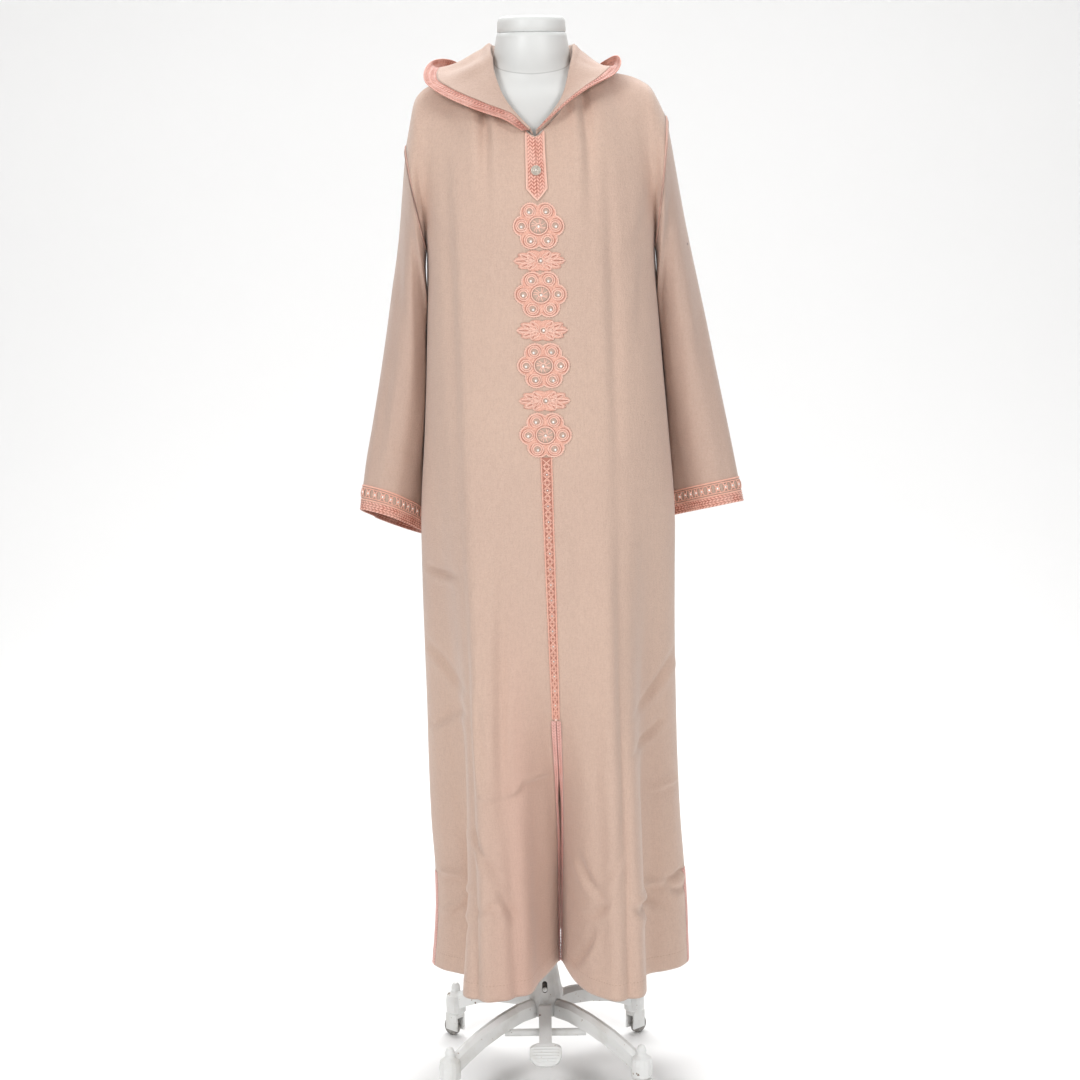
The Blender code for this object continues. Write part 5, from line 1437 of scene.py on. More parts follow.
def add_body():
    """Front and back with the braids of their slits, and the grids that trim needs."""
    front, front_rough, marks = fine_panel("front")
    back, back_rough, back_marks = fine_panel("back")
    front, front_uv = dress_panel(front, marks, FRONT_CREASES)
    back, back_uv = dress_panel(back, back_marks, BACK_CREASES)
    keep = np.ones((front.shape[0] - 1, front.shape[1] - 1), bool)
    keep[: marks.slit_row, marks.middle - SLIT_DRAWN : marks.middle + SLIT_DRAWN] = False
    keep[: marks.side_row, : marks.side] = False
    keep[: marks.side_row, -marks.side :] = False
    front_piece = shell("front_cloth", front, LOOKS["cloth"], ["front_panel"], front_uv, keep)
    keep = np.ones((back.shape[0] - 1, back.shape[1] - 1), bool)
    keep[: back_marks.side_row, : back_marks.side] = False
    keep[: back_marks.side_row, -back_marks.side :] = False
    back_piece = shell("back_cloth", back, LOOKS["cloth"], ["back_panel"], back_uv, keep)

    rows = slice(0, marks.slit_row + 1)
    left = front[rows, marks.middle - SLIT_DRAWN : marks.middle + 1].copy()
    right = front[rows, marks.middle : marks.middle + SLIT_DRAWN + 1].copy()
    part = np.interp(left[:, -1, 2], *zip(*SLIT_OPENING))
    shift = unit(left[:, 0] - left[:, -1]) * part[:, None] / 2
    left[:, -1] += shift
    right[:, 0] -= shift
    for side, strip in (("left", left), ("right", right)):
        grid = strip.transpose(1, 0, 2)[::-1]
        relief(f"slit_edging_{side}", grid, f"slit_braid_{side}", SLIT_BANDS, SLIT_PITCH, "pink_braid")
    rows = slice(0, marks.side_row + 1)
    for name, panel in (("front", front), ("back", back)):
        for turn, columns in ((0, slice(0, SIDE_STEPS + 1)), (1, slice(-SIDE_STEPS - 1, None))):
            side = ("left", "right")[turn if name == "front" else 1 - turn]
            grid = panel[rows, columns].transpose(1, 0, 2)[::-1]
            node = f"side_braid_{name}_{side}"
            relief(f"side_edging_{name}_{side}", grid, node, SLIT_BANDS, SLIT_PITCH, "pink_braid")
    return Body(front, back, marks, back_marks, front_rough, back_rough)


def armhole_of(body, edge, other):
    """The ring round an armhole through one column of the front and one of the back."""
    front = body.front[body.marks.yoke_row :, edge]
    back = body.back[body.back_marks.yoke_row : -1, other]
    return np.concatenate([front, back[::-1][:-1]])


def add_sleeve(side, body):
    """A sleeve with the braid and the embroidered band of its cuff."""
    name = "left" if side < 0 else "right"
    rough = sleeve_grid(side, body.front_rough, body.back_rough)
    if side > 0:
        rough = rough[:, ::-1]
    fine = finer(rough, [8] * SLEEVE_ROWS)
    fine = across_grid(fine, [YOKE_STEPS] * rough.shape[1], closed=True)
    edge, other = (0, -1) if side < 0 else (-1, 0)
    ring = armhole_of(body, edge, other)
    down = gone(fine, 0)
    blend = smooth_step(down / 0.050)[..., None]
    fine = ring[None] + (fine - fine[:1]) * (1 - blend) + (fine - ring[None]) * blend
    if side > 0:
        fine = fine[:, ::-1]
    normals = unit(grid_normals(fine, closed=True))
    down = gone(fine, 0)
    left_over = down[-1:] - down
    facing = smooth_step(-normals[..., 1] * 1.4 + 0.3)
    fade = smooth_step(down / 0.030) * smooth_step((left_over - 0.038) / 0.030) * facing
    fine = creased(fine, normals, SLEEVE_CREASES, fade)
    around = np.linalg.norm(np.diff(np.concatenate([fine, fine[:, :1]], axis=1), axis=1), axis=2)
    reached = np.concatenate([np.zeros((len(fine), 1)), np.cumsum(around, axis=1)], axis=1)
    keep_rows = int((left_over.mean(axis=1) > CUFF_BRAID).sum())
    tube = np.concatenate([fine[:keep_rows], cut_rings(fine, CUFF_BRAID)[None]])
    uv = np.stack([reached[: keep_rows + 1, :-1], down[: keep_rows + 1]], axis=2)
    cloth = LOOKS["sleeve_cloth"]
    piece = shell(f"sleeve_cloth_{name}", tube, cloth, [f"sleeve_{name}"], uv, closed=True)

    cuff = np.array([cut_rings(fine, CUFF_BRAID), cut_rings(fine, CUFF_BRAID / 2), fine[-1]])
    cuff = np.concatenate([cuff, cuff[:, :1]], axis=1)
    relief(f"cuff_edging_{name}", cuff, f"cuff_braid_{name}", CUFF_BANDS)
    add_cuff_band(name, fine)
    add_armhole_lace(name, fine, body, side)


def add_cuff_band(name, fine):
    """The band above the cuff: crossed cords with a small ring and a stone in each gap."""
    heights = np.linspace(CUFF_GROUND, 0.0, 26)
    rows = np.array([cut_rings(fine, height) for height in heights])[::-1]
    wrapped = np.concatenate([rows[:, -3:], rows, rows[:, :4]], axis=1)
    around = gone(wrapped, 1).mean(axis=0)
    start, end = around[3], around[3 + rows.shape[1]]
    ground = Ground(wrapped[::-1], around - start, -heights)
    whole = end - start
    count = round(whole / CUFF_CROSS)
    pitch = whole / count
    low = -(CUFF_BRAID + CUFF_BAND_CLEAR)
    high = low - CUFF_BAND
    middle, half = (low + high) / 2, CUFF_BAND / 2
    work = Work()
    turn = np.linspace(0, whole, 6 * count + 1)[:-1]
    for up, radius in ((0.0, 0.0013), (1.0, 0.0013), (0.16, 0.0009), (0.84, 0.0009)):
        line = np.column_stack([turn, np.full(len(turn), low + (high - low) * up)])
        lay_cord(work, ground, line, radius, 0.0008, closed=True)
    for n in range(count):
        centre = np.array([(n + 0.5) * pitch, middle])
        share = np.linspace(-0.66, 0.66, 7)
        for lean in (-1, 1):
            line = centre + np.column_stack([share * 0.5 * pitch, lean * share * half])
            lay_cord(work, ground, line, CORD, 0.0012)
        lay_cord(work, ground, ring_of(centre, CUFF_RING, 12), CORD_THIN, 0.0018, closed=True)
        lay_stone(work, ground, centre, 0.0016, 0.0014, 1)
    looks = [LOOKS["cord"], LOOKS["stone"]]
    work.finish(f"cuff_embroidery_{name}", looks, [f"cuff_band_{name}"])


def add_armhole_lace(name, fine, body, side):
    """Needle lace over the armhole seam: a zigzag between two fine edges."""
    edge, step = (0, 1) if side < 0 else (-1, -1)
    other, back_step = (-1, -1) if side < 0 else (0, 1)
    sleeve = fine[:, ::-1] if side > 0 else fine
    seam = sleeve[0]
    inner = armhole_of(body, edge + step, other + back_step)
    body_side = seam + unit(inner - seam) * LACE_HALF
    sleeve_side = seam + unit(sleeve[2] - seam) * LACE_HALF
    normals = unit(grid_normals(sleeve, closed=True))[1]
    if side > 0:
        normals = -normals
    rings = [np.concatenate([part, part[:1]]) for part in (body_side, sleeve_side, normals)]
    reached = reached_along(rings[0])
    count = int(reached[-1] / LACE_POINT)
    at = np.linspace(0, reached[-1], 2 * count + 1)[:-1]
    one, two, out = [read_at(part, reached, at) for part in rings]
    out = unit(out)
    zigzag = np.where((np.arange(len(at)) % 2 == 0)[:, None], one, two)
    work = Work()
    work.cord(zigzag + out * 0.0012, out, 0.0009, closed=True, sides=5)
    for part in (one, two):
        work.cord(part[::2] + out[::2] * 0.0008, out[::2], 0.0007, closed=True, sides=5)
    work.finish(f"armhole_lace_{name}", [LOOKS["cord_pale"]])


def add_hood(body):
    """The hood and the braid along its rim."""
    hood, rim = hood_grids(body.front_rough, body.back_rough)
    hood = across_grid(finer(hood, [3] + [4] * (HOOD_ROWS - 1)), [4] * HOOD_COLUMNS)
    rim = across_grid(finer(rim, [3, 3]), [4] * HOOD_COLUMNS)
    across, up = gone(hood, 1), gone(hood, 0)
    normals = unit(grid_normals(hood))
    dents = np.zeros(hood.shape[:2])
    turn = np.linspace(1, -1, hood.shape[1])[None]
    share = up / np.maximum(up[-1:], 1e-9)
    for place, reach_to, depth, width in HOOD_CREASES:
        around = np.exp(-(((turn - place) / width) ** 2))
        dents += depth * around * np.exp(-(((share - reach_to) / HOOD_DENT_LONG) ** 2))
    fade = smooth_step(share / 0.15) * smooth_step((1 - share) / 0.15)
    hood = hood + normals * (dents * fade)[..., None]
    uv = np.stack([across, up], axis=2)
    piece = shell("hood_cloth", hood, LOOKS["hood_cloth"], ["hood"], uv)
    relief("hood_edging", rim, "hood_braid", RIM_BANDS, RIM_PITCH, "rim_braid", high=0.0016)


def front_ground(front, marks):
    """The middle of the front as a patch that trim is laid on, by distance across and height."""
    across = gone(front, 1)
    across = across - across[:, marks.middle : marks.middle + 1]
    wanted = np.linspace(-GROUND_HALF, GROUND_HALF, 65)
    heights = np.arange(GROUND_FOOT_Z, GROUND_TOP_Z, 0.002)
    columns = []
    tops = []
    for distance in wanted:
        run = np.array([read_at(row, reached, [distance])[0] for row, reached in zip(front, across)])
        tops.append(run[-1, 2])
        slope = (run[-1] - run[-2]) / (run[-1, 2] - run[-2, 2])
        column = read_at(run, run[:, 2], heights)
        past = heights > run[-1, 2]
        column[past] = run[-1] + slope * (heights[past] - run[-1, 2])[:, None]
        columns.append(column)
    return Ground(np.array(columns).transpose(1, 0, 2), wanted, heights), wanted, np.array(tops)


def ring_of(middle, half, count):
    """Points of an ellipse with its half width and half height."""
    angles = round_turn(count)
    return np.column_stack([middle[0] + half[0] * np.cos(angles), middle[1] + half[1] * np.sin(angles)])


def lay_cord(work, ground, points, radius, lift, closed=False, mark=0, sides=6):
    """A cord over flat points (across, height)."""
    points = np.asarray(points, float)
    places, normals = ground.at(points[:, 0], points[:, 1], np.full(len(points), lift))
    work.cord(places, normals, radius, closed, sides, mark)


def lay_stone(work, ground, middle, radius, lift, mark=1):
    """A stone over a flat point."""
    place, normal = ground.at(np.array([middle[0]]), np.array([middle[1]]), np.array([lift]))
    work.stone(place[0], normal[0], radius, mark)


def embroidery_looks():
    """Looks by mark: cords, stones, filling, dark cords and bare cloth, the last in the hood's crepe with its
    painted shade.
    """
    return [LOOKS[name] for name in ("cord_pale", "stone", "pad", "cord_deep", "hood_cloth")]


def add_rosette(number, motif, ground):
    """A flower of six ringed lobes round a spoked ring, each with a stone."""
    work = Work()
    middle = np.array([motif.across, motif.z])
    wide, high = motif.half_width, motif.half_height
    count = 120
    angles = round_turn(count)
    scallop = 0.80 + 0.20 * np.abs(np.cos(3 * angles)) ** 0.8
    outline = np.column_stack([wide * scallop * np.cos(angles), high * scallop * np.sin(angles)])
    work.patch(ground, middle, outline, LIFT, rings=8, mark=2, thick=0.0008)
    lay_cord(work, ground, middle + outline * 0.985, CORD, 0.0016, closed=True)
    beads = np.where(np.arange(count) % 2 == 0, 1.035, 1.0)[:, None]
    lay_cord(work, ground, middle + outline * beads, CORD_FINE, 0.0010, closed=True, sides=5)
    for angle in round_turn(LOBES):
        out = np.array([wide * LOBE_OUT[0] * math.cos(angle), high * LOBE_OUT[1] * math.sin(angle)])
        lobe = middle + out
        arc = angle + np.linspace(-1.9, 1.9, 22)
        line = lobe + np.column_stack([LOBE_ARC[0] * np.cos(arc), LOBE_ARC[1] * np.sin(arc)])
        lay_cord(work, ground, line, CORD_FINE, 0.0016, mark=3)
        lay_cord(work, ground, ring_of(lobe, LOBE_RING, 26), 0.0010, 0.0018, closed=True)
        disc = ring_of((0.0, 0.0), LOBE_DISC, 16)
        work.patch(ground, lobe, disc, LIFT + 0.0008, rings=2, mark=4, thick=0.0002)
        lay_cord(work, ground, ring_of(lobe, LOBE_EYE, 18), CORD, 0.0021, closed=True)
        offset = np.array([0.0012 * math.cos(angle + 1.1), -0.0014])
        lay_stone(work, ground, lobe + offset, 0.0019, 0.0016)
    lay_cord(work, ground, ring_of(middle, HEART_RIM, 34), CORD_FINE, 0.0016, closed=True, mark=3)
    disc = ring_of((0.0, 0.0), HEART_DISC, 28)
    work.patch(ground, middle, disc, LIFT + 0.0008, rings=3, mark=4, thick=0.0002)
    lay_cord(work, ground, ring_of(middle, HEART_RING, 34), CORD, 0.0022, closed=True)
    for n in range(SPOKES):
        angle = 2 * math.pi * (n + 0.3 + 0.3 * math.sin(2.3 * n)) / SPOKES
        share = np.linspace(0.22, 0.92, 5)[:, None]
        bend = angle + 0.35 * share[:, 0]
        line = middle + share * SPOKE_OUT * np.column_stack([np.cos(bend), 0.9 * np.sin(bend)])
        lay_cord(work, ground, line, 0.0007, 0.0018)
    lay_cord(work, ground, ring_of(middle, HEART_EYE, 14), 0.0008, 0.0020, closed=True)
    lay_stone(work, ground, middle + np.array([0.0006 * (number % 3 - 1), -0.001]), 0.0018, 0.0018)
    work.finish(f"flower_{number}", embroidery_looks(), [f"rosette_{number}"])


def leaf_shape(length_out, half):
    """A pointed leaf from its foot at 0,0 out along the first axis."""
    share = np.linspace(0, 1, 18)
    side = half * np.sin(math.pi * share**0.8) ** 0.9
    top = np.column_stack([share * length_out, side])
    return np.concatenate([top, top[::-1][1:-1] * np.array([1, -1])])


def add_leaf_spray(number, motif, ground):
    """Pointed, ribbed leaves to each side of a ringed stone."""
    work = Work()
    middle = np.array([motif.across, motif.z])
    wide, high = motif.half_width, motif.half_height
    angles = round_turn(120)
    notch = 0.84 + 0.16 * np.abs(np.cos(5.0 * angles)) ** 0.8
    sine, cosine = np.sin(angles), np.cos(angles)
    pad = np.column_stack([wide * notch * cosine, high * notch * np.sign(sine) * np.abs(sine) ** 0.7])
    work.patch(ground, middle, pad * 0.97, LIFT, rings=6, mark=2, thick=0.0006)
    flat = np.array([1.0, high / wide * 1.25])
    share = np.linspace(0.25, 0.86, 6)
    for out in (1, -1):
        foot = middle + np.array([0.20 * wide * out, 0.0])
        for degrees, long in LEAVES:
            angle = math.radians(degrees if out > 0 else 180 + degrees)
            turn = np.array([[math.cos(angle), math.sin(angle)], [-math.sin(angle), math.cos(angle)]])
            leaf = foot + (leaf_shape(wide * long, LEAF_HALF) @ turn) * flat
            lay_cord(work, ground, leaf, CORD_THIN, 0.0016, closed=True)
            for lean in (-0.45, 0.0, 0.45):
                rib = np.column_stack([share * wide * long, lean * LEAF_HALF * np.sin(math.pi * share)])
                lay_cord(work, ground, foot + (rib @ turn) * flat, 0.0005, 0.0014, mark=0 if lean else 3)
    middle = middle + np.array([LEAF_RING_X, 0.0])
    disc = ring_of((0.0, 0.0), LEAF_DISC, 16)
    work.patch(ground, middle, disc, LIFT + 0.0007, rings=2, mark=4, thick=0.0002)
    lay_cord(work, ground, ring_of(middle, LEAF_RING, 18), 0.0010, 0.0022, closed=True)
    lay_stone(work, ground, middle, 0.0019, 0.0016)
    work.finish(f"leaves_{number}", embroidery_looks(), [f"leaf_spray_{number}"])


def add_stem(ground):
    """The narrow lattice band from the last flower to the slit, with a stone in every other gap."""
    work = Work()
    foot, top = SLIT_TOP_Z + STEM_CLEAR, STEM_TOP_Z + 0.004
    heights = np.linspace(foot, top, 150)
    half = STEM_FOOT_HALF + (STEM_TOP_HALF - STEM_FOOT_HALF) * (heights - foot) / (top - foot)
    narrow = half * 0.86
    one = np.column_stack([narrow, heights])
    pad_rows = np.concatenate([one, one[::-1] * np.array([-1.0, 1.0])])
    places, _ = ground.at(pad_rows[:, 0], pad_rows[:, 1], np.full(len(pad_rows), LIFT + 0.0004))
    count = len(heights)
    faces = [(n, n + 1, 2 * count - 2 - n, 2 * count - 1 - n) for n in range(count - 1)]
    work.add(places, [face[::-1] for face in faces], pad_rows, 2)
    beaded = narrow + np.where(np.arange(count) % 2 == 0, 0.0014, 0.0004)
    for side in (-1, 1):
        lay_cord(work, ground, np.column_stack([side * narrow, heights]), CORD_THIN, 0.0014)
        lay_cord(work, ground, np.column_stack([side * beaded, heights]), 0.0005, 0.0009, sides=5)
    share = np.linspace(-1, 1, 6)
    for n in range(int((top - foot) / STEM_PITCH)):
        low = foot + n * STEM_PITCH
        middle = low + STEM_PITCH / 2
        wide = float(np.interp(middle, heights, narrow))
        for lean in (-1, 1):
            line = np.column_stack([lean * share * wide * 0.85, middle + share * STEM_PITCH * 0.46])
            lay_cord(work, ground, line, CORD_THIN, 0.0019)
        knot = ring_of((0.0, low), (wide * 0.42, wide * 0.42), 12)
        lay_cord(work, ground, knot, 0.0007, 0.0018, closed=True)
        if n % 2 == 0:
            lay_stone(work, ground, (0.0, low), 0.0012, 0.0016)
    looks = [LOOKS["cord"], LOOKS["stone"], LOOKS["cord_deep"]]
    work.finish("stem", looks, ["stem_band"])


def add_placket(ground, wanted, tops):
    """The braid placket with its chevrons, its edge cords and the button."""
    rows, columns = 118, 45
    across = np.linspace(-PLACKET_HALF + 0.0009, PLACKET_HALF - 0.0009, columns)
    low = PLACKET_TIP_Z + np.abs(across) / PLACKET_HALF * (PLACKET_SHOULDER_Z - PLACKET_TIP_Z)
    high = np.interp(across, wanted, tops) - 0.0022
    share = np.linspace(0, 1, rows)[:, None]
    heights = low[None] + share * (high - low)[None]
    spread = np.repeat(across[None], rows, axis=0)
    along_it = heights - PLACKET_TIP_Z
    raised = braid_height((spread + PLACKET_HALF) / (2 * PLACKET_HALF), along_it, PLACKET_BANDS, RIM_PITCH)
    places, _ = ground.at(spread, heights, LIFT + 0.0008 + raised * 0.0008)
    uv = np.stack([spread, along_it], axis=2)
    braid = LOOKS["braid"]
    shell("placket_braid", places, braid, ["placket"], uv, thick=CLOTH, raised=raised)
    work = Work()
    left = np.column_stack([np.full(60, across[0]), np.linspace(high[0], low[0], 60)])
    below = np.linspace(across[0], across[-1], 31)[1:-1]
    foot = np.column_stack([below, np.interp(below, across, low)])
    right = np.column_stack([np.full(60, across[-1]), np.linspace(low[-1], high[-1], 60)])
    edge = np.concatenate([left, foot, right])
    lay_cord(work, ground, edge, 0.0012, 0.0022)
    lay_cord(work, ground, edge * np.array([0.86, 1.0]), CORD_FINE, 0.0020)
    # Painted shade: a thin dark cord stands for the parting between the placket's halves above the button.
    split = np.column_stack([np.full(30, V_MIDDLE / 2), np.linspace(PLACKET_SPLIT_Z, PLACKET_TOP_Z, 30)])
    lay_cord(work, ground, split, 0.0004, 0.0020, mark=1)
    work.finish("placket_edge_cords", [LOOKS["cord_pale"], LOOKS["cord_deep"]])
    add_button(ground)


def add_button(ground):
    """A round silver button with a rim of small stones about a larger one."""
    lift = np.array([LIFT + PLACKET_THICK + 0.0004])
    (place,), (normal,) = ground.at(np.array([0.0]), np.array([BUTTON_Z]), lift)
    side = np.array([1.0, 0.0, 0.0])
    up = np.cross(normal, side)
    work = Work()
    points = []
    for share, rise in BUTTON_PROFILE:
        for angle in round_turn(BUTTON_SIDES):
            away = side * math.cos(angle) + up * math.sin(angle)
            points.append(place + BUTTON_RADIUS * share * away + normal * rise)
    faces = ring_faces(len(BUTTON_PROFILE), BUTTON_SIDES) + [tuple(range(BUTTON_SIDES))[::-1]]
    work.add(points, faces, np.zeros((len(points), 2)), 0)
    work.stone(place + normal * 0.0030, normal, BUTTON_RADIUS * 0.34, mark=0)
    work.stone(place + normal * 0.0046, normal, BUTTON_RADIUS * 0.16)
    for angle in round_turn(BUTTON_BEADS):
        away = side * math.cos(angle) + up * math.sin(angle)
        bead = place + BUTTON_RADIUS * 0.70 * away + normal * 0.0024
        work.stone(bead, normal, BUTTON_RADIUS * 0.17, mark=0)
    work.finish("silver_button", [LOOKS["silver"], LOOKS["stone"]], ["button"])


def add_form():
    """Torso, neck cap and mast, finer than their solids, with thin seams on the torso."""
    heights = np.concatenate([FORM_FOOT, np.linspace(FORM_SIDE_Z, FORM[-1].z, FORM_ROWS)])
    turns = round_turn(FORM_SIDES)
    rows = []
    for z in heights:
        _, half, front, back, shape = along(FORM, z)
        sine, cosine = np.sin(turns), np.cos(turns)
        depth = np.where(cosine > 0, front, back)
        away = (np.abs(sine / half) ** shape + np.abs(cosine / depth) ** shape) ** (-1 / shape)
        rows.append(np.column_stack([away * sine, -away * cosine, np.full(len(turns), z)]))
    foot = rows[0] * np.array([0.7, 0.7, 1.0])
    grid = np.array([foot] + rows)
    uv = np.stack([gone(grid, 1), gone(grid, 0)], axis=2).reshape(-1, 2)
    points = grid.reshape(-1, 3)
    faces = ring_faces(len(grid), FORM_SIDES)
    faces.append(tuple(range(len(points) - FORM_SIDES, len(points))))
    faces.append(tuple(range(FORM_SIDES))[::-1])
    add_mesh("form_body", points, faces, [LOOKS["form"]], ["torso"], uv)
    rise = CAP_TOP_Z - CAP_FOOT_Z
    cap = [(CAP_HALF * across, rise * up) for across, up in CAP_PROFILE]
    add_turned("form_neck_cap", cap, CAP_FOOT_Z, 72, LOOKS["form"], "neck_cap")
    long = MAST_TOP_Z - MAST_FOOT_Z
    narrow = MAST_RADIUS * 0.96
    mast = ((narrow, 0.0), (MAST_RADIUS, 0.001), (MAST_RADIUS, long - 0.001), (narrow, long))
    add_turned("form_mast", mast, MAST_FOOT_Z, 48, LOOKS["steel"], "mast")


def add_turned(name, profile, foot, sides, look, node):
    """A turned body from (radius, height) points, closed at both ends."""
    points = []
    for radius, height in profile:
        for angle in round_turn(sides):
            points.append((radius * math.cos(angle), radius * math.sin(angle), foot + height))
    rings = len(profile)
    caps = [tuple(range(sides))[::-1], tuple(range((rings - 1) * sides, rings * sides))]
    faces = ring_faces(rings, sides) + caps
    add_mesh(name, points, faces, [look], [node], np.zeros((len(points), 2)))


def soften(piece, width):
    """Rounds the sharp edges of a piece."""
    softened = piece.modifiers.new("Softened edges", "BEVEL")
    softened.width = width
    softened.segments = 2
    softened.limit_method = "ANGLE"


def finish_stand():
    """The stand's own solids, with softened edges and old paint."""
    for name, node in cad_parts.items():
        if name.startswith(("leg_", "stand_column", "caster_", "pedal")):
            soften(node, 0.0012)
            look = "rubber" if name.startswith("caster_wheel") else "paint"
            node.data.materials.clear()
            node.data.materials.append(LOOKS[look])


def add_column_slot():
    """The slot in the foot of the column, drawn as a dark sheet of painted shadow on its surface, with the
    head of its bolt.
    """
    work = Work()
    angles = round_turn(SLOT_SIDES)
    outline = np.column_stack([SLOT_HALF * np.cos(angles), SLOT_HALF * np.sin(angles)])
    outline[:, 1] += np.sign(outline[:, 1]) * (SLOT_RISE - SLOT_HALF)
    points = [(0.0, -column_radius(SLOT_Z) - 0.0005, SLOT_Z)]
    for share in (0.5, 0.9, 1.0):
        for x, z in outline * share:
            away = column_radius(SLOT_Z + z) + (0.0005 if share < 1 else -0.0004)
            points.append((x, -math.sqrt(away**2 - x**2), SLOT_Z + z))
    work.add(points, fan_faces(3, SLOT_SIDES), np.zeros((len(points), 2)), 0)
    points = []
    bolt_z = SLOT_Z - SLOT_RISE * 0.4
    front = -column_radius(bolt_z)
    for radius, proud in BOLT_PROFILE:
        for turn in angles:
            points.append((radius * math.cos(turn), front - proud, bolt_z + radius * math.sin(turn)))
    rings = len(BOLT_PROFILE)
    faces = ring_faces(rings, SLOT_SIDES) + [tuple(range((rings - 1) * SLOT_SIDES, rings * SLOT_SIDES))]
    work.add(points, faces, np.zeros((len(points), 2)), 1)
    work.finish("column_slot", [LOOKS["dark"], LOOKS["paint"]], link="stand")


def column_radius(z):
    """Radius of the foot of the column at a height."""
    return float(np.interp(z, [0.128, 0.142, 0.170, 0.200], [0.0300, 0.0262, 0.0215, 0.0195]))


def add_foot_pedal():
    """The pedal: its arm on the cross rod and an oval plate with ribs across it."""
    run = np.array(PEDAL_PLATE)
    reached = reached_along(run)
    rows, columns = 64, 33
    at = np.linspace(0, reached[-1], rows)
    y, z = read_at(run, reached, at).T
    share = at / reached[-1]
    half = PEDAL_HALF * (1 - np.abs(2 * share - 1) ** 2.6 * 0.92) ** 0.5
    across = np.linspace(-1, 1, columns)
    inside = smooth_step((0.86 - np.abs(across)) / 0.12)[None]
    inside = inside * smooth_step((0.44 - np.abs(share - 0.5)) / 0.06)[:, None]
    ribs = (0.5 + 0.5 * np.cos(2 * math.pi * at / RIB_PITCH))[:, None] ** 2 * inside * 0.0016
    grid = np.stack([half[:, None] * across[None], y[:, None] - ribs * 0.5, z[:, None] + ribs * 0.8], axis=2)
    uv = np.zeros((rows, columns, 2))
    paint = LOOKS["paint"]
    shell("foot_pedal_plate", grid[:, ::-1], paint, [], uv, thick=0.0062, link="foot_pedal")
    turns = np.linspace(0, math.pi, 13)
    eye = np.column_stack([ROD_Y + EYE_RADIUS * np.cos(turns), ROD_Z + EYE_RADIUS * np.sin(turns)])
    ahead = eye[::-1] * np.array([1.0, -1.0]) + np.array([0.0, 2 * ROD_Z])
    outer = len(PEDAL_ARM)
    flat = list(PEDAL_ARM) + eye.tolist() + ahead[1:-1].tolist()
    ring = list(range(outer, len(flat)))
    upper = list(range(PEDAL_RIGHT, PEDAL_LEFT + 1)) + ring[:13][::-1]
    lower = list(range(PEDAL_LEFT, outer)) + [0, PEDAL_RIGHT] + [ring[0]] + ring[13:][::-1] + [ring[12]]
    points = [(x, y, z) for x in (-0.0100, 0.0100) for y, z in flat]
    count = len(flat)
    faces = []
    for side in (upper, lower):
        faces.append(tuple(side[::-1]))
        faces.append(tuple(count + p for p in side))
    for loop in (list(range(outer)), ring[::-1]):
        for a, b in zip(loop, loop[1:] + loop[:1]):
            faces.append((a, b, count + b, count + a))
    arm = add_mesh("foot_pedal_arm", points, faces, [paint], ["pedal"], link="foot_pedal")
    soften(arm, 0.0010)


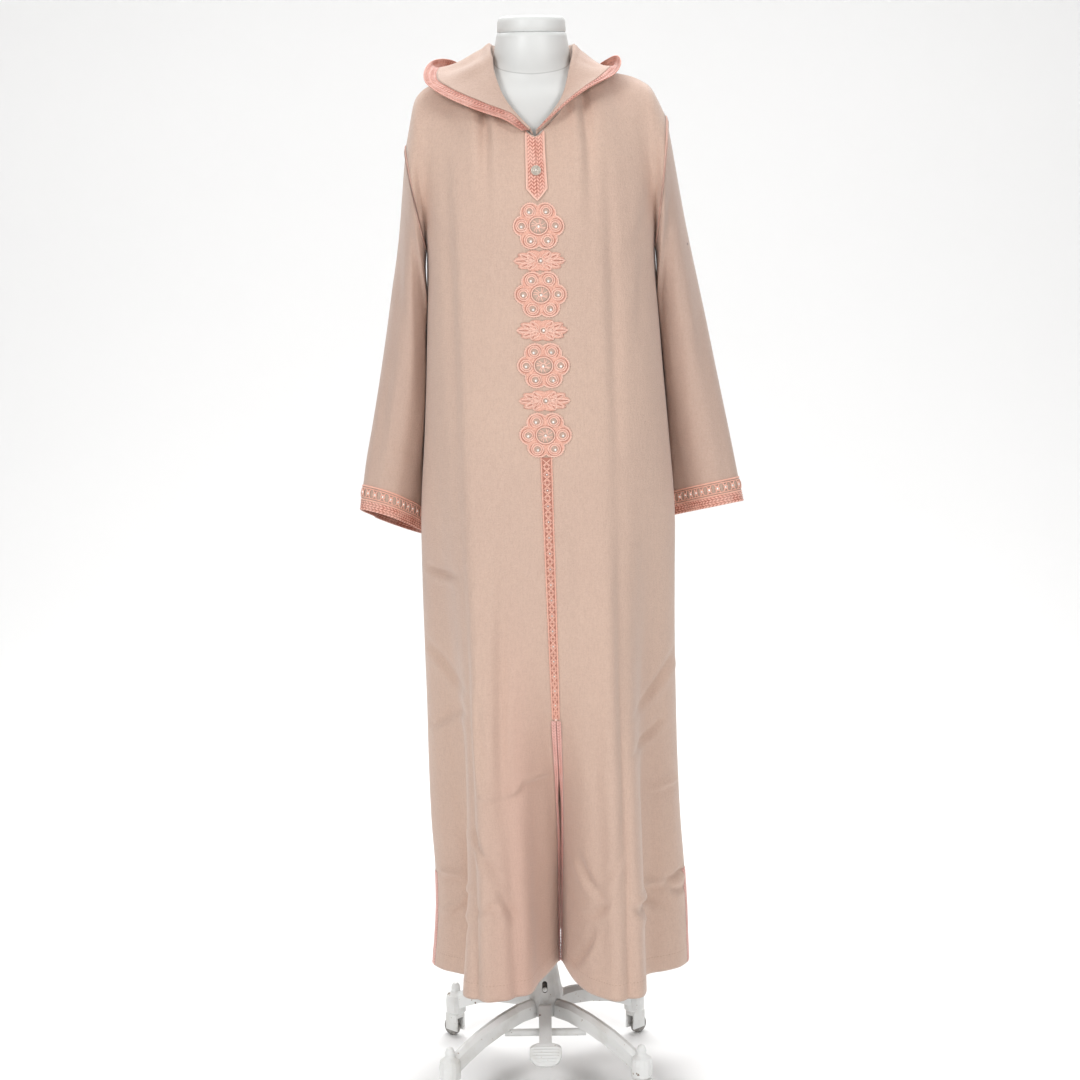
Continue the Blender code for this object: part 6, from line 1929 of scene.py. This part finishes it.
def add_stage():
    """A pale floor that curves up behind, soft lights and the camera."""
    points, faces = [], []
    profile = [(FLOOR_FRONT, 0.0), (FLOOR_BACK, 0.0)]
    for step in range(1, 13):
        angle = math.pi / 2 * step / 12
        profile.append((FLOOR_BACK + FLOOR_BEND * math.sin(angle), FLOOR_BEND * (1 - math.cos(angle))))
    profile.append((FLOOR_BACK + FLOOR_BEND, FLOOR_TOP_Z))
    for y, z in profile:
        points.extend([(-FLOOR_HALF, y, z), (FLOOR_HALF, y, z)])
    for n in range(len(profile) - 1):
        faces.append((2 * n, 2 * n + 1, 2 * n + 3, 2 * n + 2))
    mesh = bpy.data.meshes.new("floor")
    mesh.from_pydata(points, [], faces)
    mesh.materials.append(pale_floor("pale_floor"))
    mesh.shade_smooth()
    floor = bpy.data.objects.new("floor", mesh)
    bpy.context.scene.collection.objects.link(floor)

    for name, place, size, power in LIGHTS:
        lamp = bpy.data.lights.new(name, "AREA")
        lamp.shape = "RECTANGLE"
        lamp.size, lamp.size_y = size
        lamp.energy = power
        lit = bpy.data.objects.new(name, lamp)
        lit.location = place
        aim = Vector((0, 0, 0.9)) - Vector(place)
        lit.rotation_euler = aim.to_track_quat("-Z", "Y").to_euler()
        bpy.context.scene.collection.objects.link(lit)

    world = bpy.data.worlds.new("soft_room")
    world.use_nodes = True
    backing = world.node_tree.nodes["Background"]
    backing.inputs["Color"].default_value = (1.0, 0.99, 0.98, 1.0)
    backing.inputs["Strength"].default_value = 0.26
    bpy.context.scene.world = world
    bpy.context.scene.view_settings.view_transform = "Standard"

    pitch = math.atan2(CAMERA_Z - LOOK_AT_Z, CAMERA_AWAY)
    camera = bpy.data.cameras.new("camera")
    camera.sensor_width = SENSOR
    camera.lens = CAMERA_AWAY / math.cos(pitch) / PIXEL / FRAME_PIXELS * SENSOR
    camera.clip_end = 50.0
    seen = bpy.data.objects.new("camera", camera)
    place = Vector((CENTRE_X + 1.5 * PIXEL, CENTRE_Y - CAMERA_AWAY, CAMERA_Z))
    tilt = Matrix.Rotation(math.pi / 2 - pitch, 4, "X") @ Matrix.Rotation(math.radians(CAMERA_ROLL), 4, "Z")
    seen.matrix_world = Matrix.Translation(place) @ tilt
    bpy.context.scene.collection.objects.link(seen)
    bpy.context.scene.camera = seen


def main():
    """Draws the kaftan, its trim, the form and the stand, then the stage."""
    body = add_body()
    for side in (-1, 1):
        add_sleeve(side, body)
    add_hood(body)
    ground, wanted, tops = front_ground(body.front, body.marks)
    for number, motif in enumerate(ROSETTES, 1):
        add_rosette(number, motif, ground)
    for number, motif in enumerate(LEAF_SPRAYS, 1):
        add_leaf_spray(number, motif, ground)
    add_stem(ground)
    add_placket(ground, wanted, tops)
    add_form()
    finish_stand()
    add_column_slot()
    add_foot_pedal()
    add_stage()


main()
